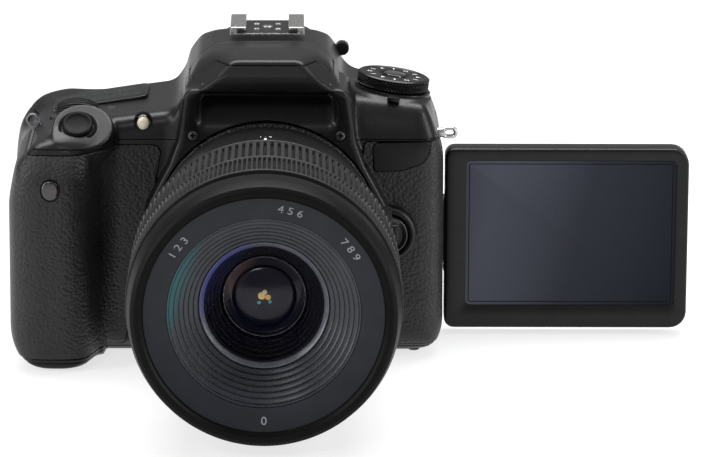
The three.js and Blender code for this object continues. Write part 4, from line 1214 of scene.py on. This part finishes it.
put(eased("power_lever_plate", "power_lever", 0.25, LENS_SHELL, (0, 0, MODE_Z - 77.4)), "power_lever",
    "lens_plastic", "power_lever")


def surface_z(x, y):
    """Height of the camera's upper surface over a point."""
    heights = np.linspace(60, 100, 4001)
    inside_body = camera_field(np.full(4001, float(x)), np.full(4001, float(y)), heights) < 0
    return float(heights[inside_body][-1])


DECK_Y = -18.0
for label, x in (("focus_button", -62.0), ("drive_button", -54.0), ("speed_button", -46.0)):
    z = surface_z(x, DECK_Y)
    cap_piece = lathe(label + "_cap", [(0, 0.15, 0), (1.3, 0.1, 0.8), (2.0, -0.15, 0.35), (2.1, -0.8, 0.1),
        (0, -0.8, 0)], upward(x, DECK_Y, z), GLOSS, 48)
    put(cap_piece, label, "gloss_plastic", label)
    hold(lathe(label + "_ring", [(2.2, -2.5, 0), (2.2, -0.75, 0.05), (2.7, -0.55, 0.15), (3.2, -1.4, 0.2),
        (3.2, -2.5, 0)], upward(x, DECK_Y, z), VOID, 48), top_cover)

slope = math.atan((surface_z(-38, -3) - surface_z(-62, -3)) / 24)
display_frame = Matrix.Translation((-50.0, -3.0, surface_z(-50, -3) + 0.35)) @ Matrix.Rotation(-slope, 4, "Y")
display = prism("top_display_glass", rounded(28.6, 18.6, 2.4), slab_levels(-1.6, 0.45, 0.35),
    facing(display_frame), LENS_SHELL)
put(display, "camera_body", "screen_glass", "top_display")
lcd = finish("segment_display", (0.020, 0.023, 0.021), 0.55, spec=0.08, vary=0.08, grain=0.002, grain_depth=0.0)
hold(prism("top_display_field", rounded(24.5, 14.0, 1.0), slab_levels(0.3, 0.5, 0.05, 1), facing(display_frame),
    lcd), display)
segments = []
for k, text in enumerate(("125", "5.6", "100")):
    p, faces = glyphs(text, 4.0)
    segments.append((facing(display_frame)(p[:, 0] - 7.5 + k * 7.5, p[:, 1] + 3.2, np.full(len(p), 0.53)),
        faces))
for k in range(9):
    p = bar(0.15, 0.6)
    segments.append((facing(display_frame)(p[:, 0] - 8 + k * 2, p[:, 1] - 3.0, np.full(4, 0.53)), QUAD))
hold(gather("top_display_digits", segments, finish("segment_ink", (0.012, 0.014, 0.014), 0.5, grain=0.001)),
    display)

# accessory shoe: folded steel rails over a dark floor
SHOE_Z = -3.1
shoe_section = [(-11, 97.35, 0.2), (11, 97.35, 0.2), (11, 99.9, 0.5), (6.3, 99.9, 0.2), (6.3, 99.25, 0.1),
    (9.3, 99.25, 0.1), (9.3, 98.05, 0.1), (-9.3, 98.05, 0.1), (-9.3, 99.25, 0.1), (-6.3, 99.25, 0.1),
    (-6.3, 99.9, 0.2), (-11, 99.9, 0.5)]
shoe = prism("shoe_rails", [(u, v + SHOE_Z, r) for u, v, r in shoe_section],
    [(-1.0, 0.12), (-0.85, 0), (18.85, 0), (19.0, 0.12)], front_plane, STEEL, 3)
put(shoe, "camera_body", "bright_metal", "accessory_shoe")
hold(prism("shoe_floor", rounded(17.8, 18.6, 0.6, 0, -9), slab_levels(98.0 + SHOE_Z, 98.16 + SHOE_Z, 0.06, 1),
    upward(0, 0, 0), LENS_SHELL), shoe)
for k, (u, v) in enumerate(((0, -9.0), (-3.2, -5.2), (3.2, -5.2), (-3.2, -12.6), (3.2, -12.6))):
    hold(lathe(f"shoe_contact_{k}", [(0, 0.12, 0), (0.9 if k else 1.5, 0.1, 0.1), (1.0 if k else 1.6, -0.1, 0),
        (0, -0.1, 0)], upward(u, v, 98.22 + SHOE_Z), STEEL, 32), shoe)


def lug(name, at, angle, replaced):
    """A cast loop for the strap, standing out from the shell."""
    d = np.array([math.cos(angle), math.sin(angle)])
    o = np.array([at[0], at[2]])

    def field(x, y, z):
        a = (x - o[0]) * d[0] + (z - o[1]) * d[1]
        b = -(x - o[0]) * d[1] + (z - o[1]) * d[0]
        ring = np.hypot(smax(np.abs(a - 2.1) - 0.6, 0 * a, 0.4), b) - 1.25
        loop = np.hypot(ring, (y - at[1]) * 0.75) - 0.62
        stub = np.maximum(np.hypot(b, y - at[1]) - 1.5, np.abs(a + 0.6) - 1.3)
        return smin(loop, stub, 0.5)

    lo = (o[0] - 6, at[1] - 3, o[1] - 6)
    hi = (o[0] + 6, at[1] + 3, o[1] + 6)
    # The lug at negative x takes the dark metal and the other bright steel: the darker one of the matched pair is
    # painted shade.
    return put(blob(name, field, lo, hi, 0.22, DARK_METAL if at[0] < 0 else STEEL), "camera_body",
        "bright_metal", replaced)


lug("strap_loop_left", (52.2, -20.0, 65.2), 0.0, "strap_lug_left")
lug("strap_loop_right", (-68.2, -20.0, 67.0), 2.3, "strap_lug_right")

# ------------------------------------------------------------------ front windows

LAMP_AT = (-36.4, 71.1)
lamp_y = surface_y(*LAMP_AT)
lamp = lathe("focus_lamp_lens", [(0, -0.9, 0), (1.0, -0.8, 1), (1.6, -0.4, 0.6), (1.8, 0.2, 0.2), (1.8, 3, 0),
    (0, 3, 0)], running_back(*LAMP_AT, lamp_y - 0.3, 1.12), LAMP, 64)
put(lamp, "camera_body", "lamp_diffuser", "focus_lamp")
hold(lathe("focus_lamp_bezel", [(2.25, -0.35, 0.1), (2.7, -0.15, 0.2), (2.9, 1.5, 0.1), (2.25, 1.5, 0)],
    running_back(*LAMP_AT, lamp_y - 0.1, 1.12), VOID, 64), lamp)
REMOTE_AT = (-63.1, 54.8)
remote = lathe("remote_window_lens", [(0, -0.35, 0), (2.2, -0.25, 1), (2.6, 0.1, 0.2), (2.6, 1, 0), (0, 1, 0)],
    running_back(*REMOTE_AT, -52.55, 1.16), SMOKED, 64)
put(remote, "camera_body", "gloss_plastic", "remote_window")
hold(lathe("remote_window_rim", [(2.65, 0.0, 0.03), (2.95, -0.02, 0.03), (3.05, 1, 0), (2.65, 1, 0)],
    running_back(*REMOTE_AT, -52.62, 1.16), VOID, 64), remote)

# ------------------------------------------------------------------ back


def eyecup_field(x, y, z):
    width = 16.4 - np.clip((z - 82) / 9, 0, 1) * 2.2
    outer = smax(smax(np.abs(x) - width, np.abs(z - 78.6) - 11.2, 7.0), np.abs(y - 18.2) - 4.3, 2.6)
    flare = np.clip((y - 17) / 6, 0, 1) * 1.6
    hole = smax(np.abs(x) - 10.5 - flare, np.abs(z - 80.0) - 6.4 - flare, 3.0)
    return smax(outer, -hole, 1.2)


eyecup = blob("eyecup_rubber", eyecup_field, (-18, 12, 66), (18, 24, 92.5), 0.5, SOFT)
put(eyecup, "camera_body", "rubber", "eyecup")
eyepiece = prism("eyepiece_glass", rounded(20.2, 11.8, 1.5, 0, 80), slab_levels(9.2, 12.4, 0.3),
    running_back(0, 0, 0), SMOKED)
put(eyepiece, "camera_body", "optical_glass", "eyepiece_lens")

diopter = lathe("diopter_wheel", [(0, 5.0, 0), (1.4, 5.0, 0.2), (2.1, 4.5, 0.2), (2.1, 0.2, 0.1), (0, 0.2, 0)],
    running_back(22.5, 84.5, 8.4), LENS_SHELL, 24 * 8, dial_teeth(24, 0.2, 2.1), 40)
put(diopter, "diopter_dial", "lens_plastic", "diopter_dial")

WHEEL_AT = facing_back(-50.5, 30.0, 12.9)
wheel = lathe("control_wheel", [(5.2, -1.0, 0), (5.2, 0.6, 0.2), (6.6, 0.9, 0.5), (10.8, 1.0, 1),
    (12.6, 1.4, 0.5), (13.5, 0.9, 0.4), (13.5, -1.0, 0)], WHEEL_AT, LENS_SHELL, 72 * 8,
    dial_teeth(72, 0.35, 13.5), 40)
put(wheel, "control_dial", "lens_plastic", "control_dial")
hold(lathe("control_wheel_well", [(13.7, -0.6, 0), (13.7, 0.15, 0.05), (14.3, 0.3, 0.1), (15.1, 0.1, 0.1),
    (15.1, -0.6, 0)], WHEEL_AT, VOID, 128), rear_cover)
set_button = lathe("set_button_cap", [(0, 1.3, 0), (3.4, 1.2, 1), (4.5, 0.8, 0.4), (4.7, -0.8, 0),
    (0, -0.8, 0)], WHEEL_AT, GLOSS, 64)
put(set_button, "set_button", "gloss_plastic", "set_button")
REAR_BUTTONS = (("menu_button", 41.0, 63.2, 2.6, 3), ("info_button", 33.0, 63.2, 2.6, 1),
    ("live_view_button", -31.5, 63.0, 3.2, 2))
REAR_Y, ICON_Y = 13.0, 14.24
for label, x, z, radius, _ in REAR_BUTTONS:
    cap_piece = lathe(label + "_cap", [(0, 1.2, 0), (radius - 1, 1.1, 0.6), (radius - 0.1, 0.7, 0.3),
        (radius, -0.9, 0), (0, -0.9, 0)], facing_back(x, z, REAR_Y), GLOSS, 64)
    put(cap_piece, label, "gloss_plastic", label)
    hold(lathe(label + "_ring", [(radius + 0.1, -0.8, 0), (radius + 0.1, 0.1, 0.03), (radius + 0.5, 0.2, 0.1),
        (radius + 0.9, 0.02, 0.1), (radius + 0.9, -0.8, 0)], facing_back(x, z, REAR_Y), VOID, 64), rear_cover)
for label, x, z, _, bars in REAR_BUTTONS:
    icon = []
    for k in range(bars):
        p = bar(0.9, 0.16) + [0, (k - (bars - 1) / 2) * 0.8]
        icon.append((facing_back(x, z, ICON_Y)(p[:, 0], p[:, 1], np.zeros(4)), QUAD))
    hold(gather(label + "_cap_icon", icon, INK), bpy.data.objects[label + "_cap"])
arrow = np.array([[-0.8, 0], [0.8, 0], [0, 1.1]])
ARROW_RADIUS, ARROW_HEIGHT = 8.2, 1.02
arrows = [(WHEEL_AT(*spun(arrow, k * math.pi / 2, ARROW_RADIUS), np.full(3, ARROW_HEIGHT)), [(0, 1, 2)])
    for k in range(4)]
hold(gather("control_wheel_marks", arrows, INK), wheel)

# ------------------------------------------------------------------ screen


CASE = [(53.5, 1.9, 3.0), (126.9, 1.9, 5.0), (126.9, 57.6, 5.0), (53.5, 57.6, 3.0)]
GLASS_EDGE = [(59.7, 9.0, 1.6), (123.2, 9.0, 1.6), (123.2, 54.0, 1.6), (59.7, 54.0, 1.6)]


def roll(edge, count=4):
    return [(edge * (1 - math.cos(a)), edge * (1 - math.sin(a)))
        for a in np.linspace(0, math.pi / 2, count + 1)]


case_levels = [(0.75, 7.0), (0.75, 6.0), (0.5, 5.7), (0.5, 1.6)] + [(0.5 + h, d) for h, d in roll(1.4)]
case_levels += [(9.0 - h, d) for h, d in reversed(roll(0.9))]
rings = [fixed_outline(inset(CASE, d), 6) for _, d in case_levels]
heights = [h for h, _ in case_levels]
rim = fixed_outline(inset(GLASS_EDGE, -0.25), 6)
rings += [rim, fixed_outline(GLASS_EDGE, 6), fixed_outline(GLASS_EDGE, 6)]
heights += [9.0, 8.85, 8.45]
m = len(rim)
points = np.concatenate([front_plane(r[:, 0], r[:, 1], np.full(m, h)) for r, h in zip(rings, heights)])
faces = [tuple(range(m)), tuple(range((len(rings) - 1) * m, len(rings) * m))]
for k in range(len(rings) - 1):
    faces += [(k * m + j, k * m + (j + 1) % m, (k + 1) * m + (j + 1) % m, (k + 1) * m + j) for j in range(m)]
case = make_mesh("screen_case_shell", points, faces, material=LENS_SHELL)
tidy(case)
crisp(case, 32)
put(case, "screen", "lens_plastic", "screen_case")
cover = prism("screen_cover_glass", inset(GLASS_EDGE, 0.12), slab_levels(8.3, 8.72, 0.1, 2), front_plane,
    DISPLAY)
put(cover, "screen", "screen_glass", "screen_glass")
border = [(8.725, 1.0), (8.735, 1.0), (8.735, 1.25), (8.725, 1.25)]
hold(prism("screen_border", GLASS_EDGE, border, front_plane, VOID, loop=True), cover)
put(eased("screen_hinge_block", "screen_hinge", 0.3, LENS_SHELL), "screen_arm", "lens_plastic", "screen_hinge")

# ------------------------------------------------------------------ underside

socket = lathe("tripod_thread", [(7.4, 2.4, 0), (7.4, 3.4, 0), (4.9, 3.4, 0), (4.9, 9.4, 0), (3.2, 9.4, 0)] +
    [(3.05 + 0.3 * (k % 2), 9.2 - k * 0.55, 0) for k in range(15)] + [(3.3, 0.6, 0.1), (4.05, 0.15, 0.2),
    (4.05, 2.4, 0)], upward(0, -20, 0), STEEL, 64)
put(socket, "camera_body", "dark_metal", "tripod_socket")


def below(cx, cy):
    return lambda u, v, w: np.stack([cx + u, cy - v, 0.05 - w * 0.6], -1)


for k, (x, y) in enumerate(((44.0, -26.0), (44.0, 6.0), (-24.0, 7.0), (-66.0, 6.0), (24.0, -28.0))):
    screw(f"base_screw_{k}", below(x, y), 1.7, base_plate)

# ------------------------------------------------------------------ finishes of the inner CAD pieces

INNER = {"mount_ring": STEEL, "lens_bayonet": STEEL, "mirror_box": BAFFLE, "rear_cell": BAFFLE,
    "rear_element": COATING, "iris_unit": DARK_METAL, "image_sensor": COATING, "shutter_unit": DARK_METAL,
    "pentamirror": BAFFLE, "battery": CELL, "main_board": BOARD, "reflex_mirror": STEEL}
for solid, material in INNER.items():
    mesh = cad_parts[solid].data
    mesh.materials.clear()
    mesh.materials.append(material)


# ------------------------------------------------------------------ floor, light and camera

floor = bpy.data.meshes.new("floor")
floor_bm = bmesh.new()
corners = [floor_bm.verts.new((sx * 12, sy * 12, -0.0004)) for sx, sy in ((-1, -1), (1, -1), (1, 1), (-1, 1))]
floor_bm.faces.new(corners)
floor_bm.to_mesh(floor)
floor_obj = bpy.data.objects.new("floor", floor)
bpy.context.scene.collection.objects.link(floor_obj)
paper = finish("paper", (0.30, 0.30, 0.30), 0.9, vary=0.01, patch=0.3, grain=0.01, spec=0.05)
glow(paper, (1, 1, 1), 0.72)
floor.materials.append(paper)


def area(name, at, to, size, power, tint=(1, 1, 1)):
    light = bpy.data.lights.new(name, "AREA")
    light.shape = "RECTANGLE"
    light.size, light.size_y = size
    light.energy = power
    light.color = tint
    obj = bpy.data.objects.new(name, light)
    obj.location = at
    obj.rotation_euler = (Vector(to) - Vector(at)).to_track_quat("-Z", "Y").to_euler()
    bpy.context.scene.collection.objects.link(obj)
    return obj


area("top_box", (0.0, 0.25, 0.95), (0, 0, 0.05), (1.1, 0.5), 17.0)
area("left_box", (-0.95, -0.45, 0.45), (0, -0.04, 0.05), (0.35, 0.9), 7.0, (1.0, 0.99, 0.97))
area("right_box", (1.0, -0.35, 0.5), (0.02, -0.04, 0.05), (0.3, 0.9), 8.0, (0.96, 0.98, 1.0))
area("front_box", (-0.5, -1.5, 1.1), (0, -0.04, 0.05), (0.6, 0.3), 5.0)

world = bpy.data.worlds.new("studio")
bpy.context.scene.world = world
world.use_nodes = True
background = world.node_tree.nodes["Background"]
background.inputs["Color"].default_value = (1, 1, 1, 1)
background.inputs["Strength"].default_value = 0.30
bpy.context.scene.view_settings.view_transform = "Standard"

# The camera looks down by about 14 degrees from a little to the right, with the lens left of the picture's centre.
DISTANCE, ELEVATION, AZIMUTH = 1.35, math.radians(14.0), math.radians(0.45)
FOCAL, SHIFT = 235.7, (0.1198, 0.0057)
target = Vector((0, FLANGE_Y * MM, AXIS_Z * MM))
camera_data = bpy.data.cameras.new("camera")
camera = bpy.data.objects.new("camera", camera_data)
bpy.context.scene.collection.objects.link(camera)
camera_data.sensor_width = 36
camera_data.lens = FOCAL
camera_data.clip_end = 20
level = DISTANCE * math.cos(ELEVATION)
camera.location = target + Vector((level * math.sin(AZIMUTH), -level * math.cos(AZIMUTH), DISTANCE *
    math.sin(ELEVATION)))
camera.rotation_euler = Euler((math.pi / 2 - ELEVATION, 0, AZIMUTH), "XYZ")
camera_data.shift_x, camera_data.shift_y = SHIFT
bpy.context.scene.camera = camera
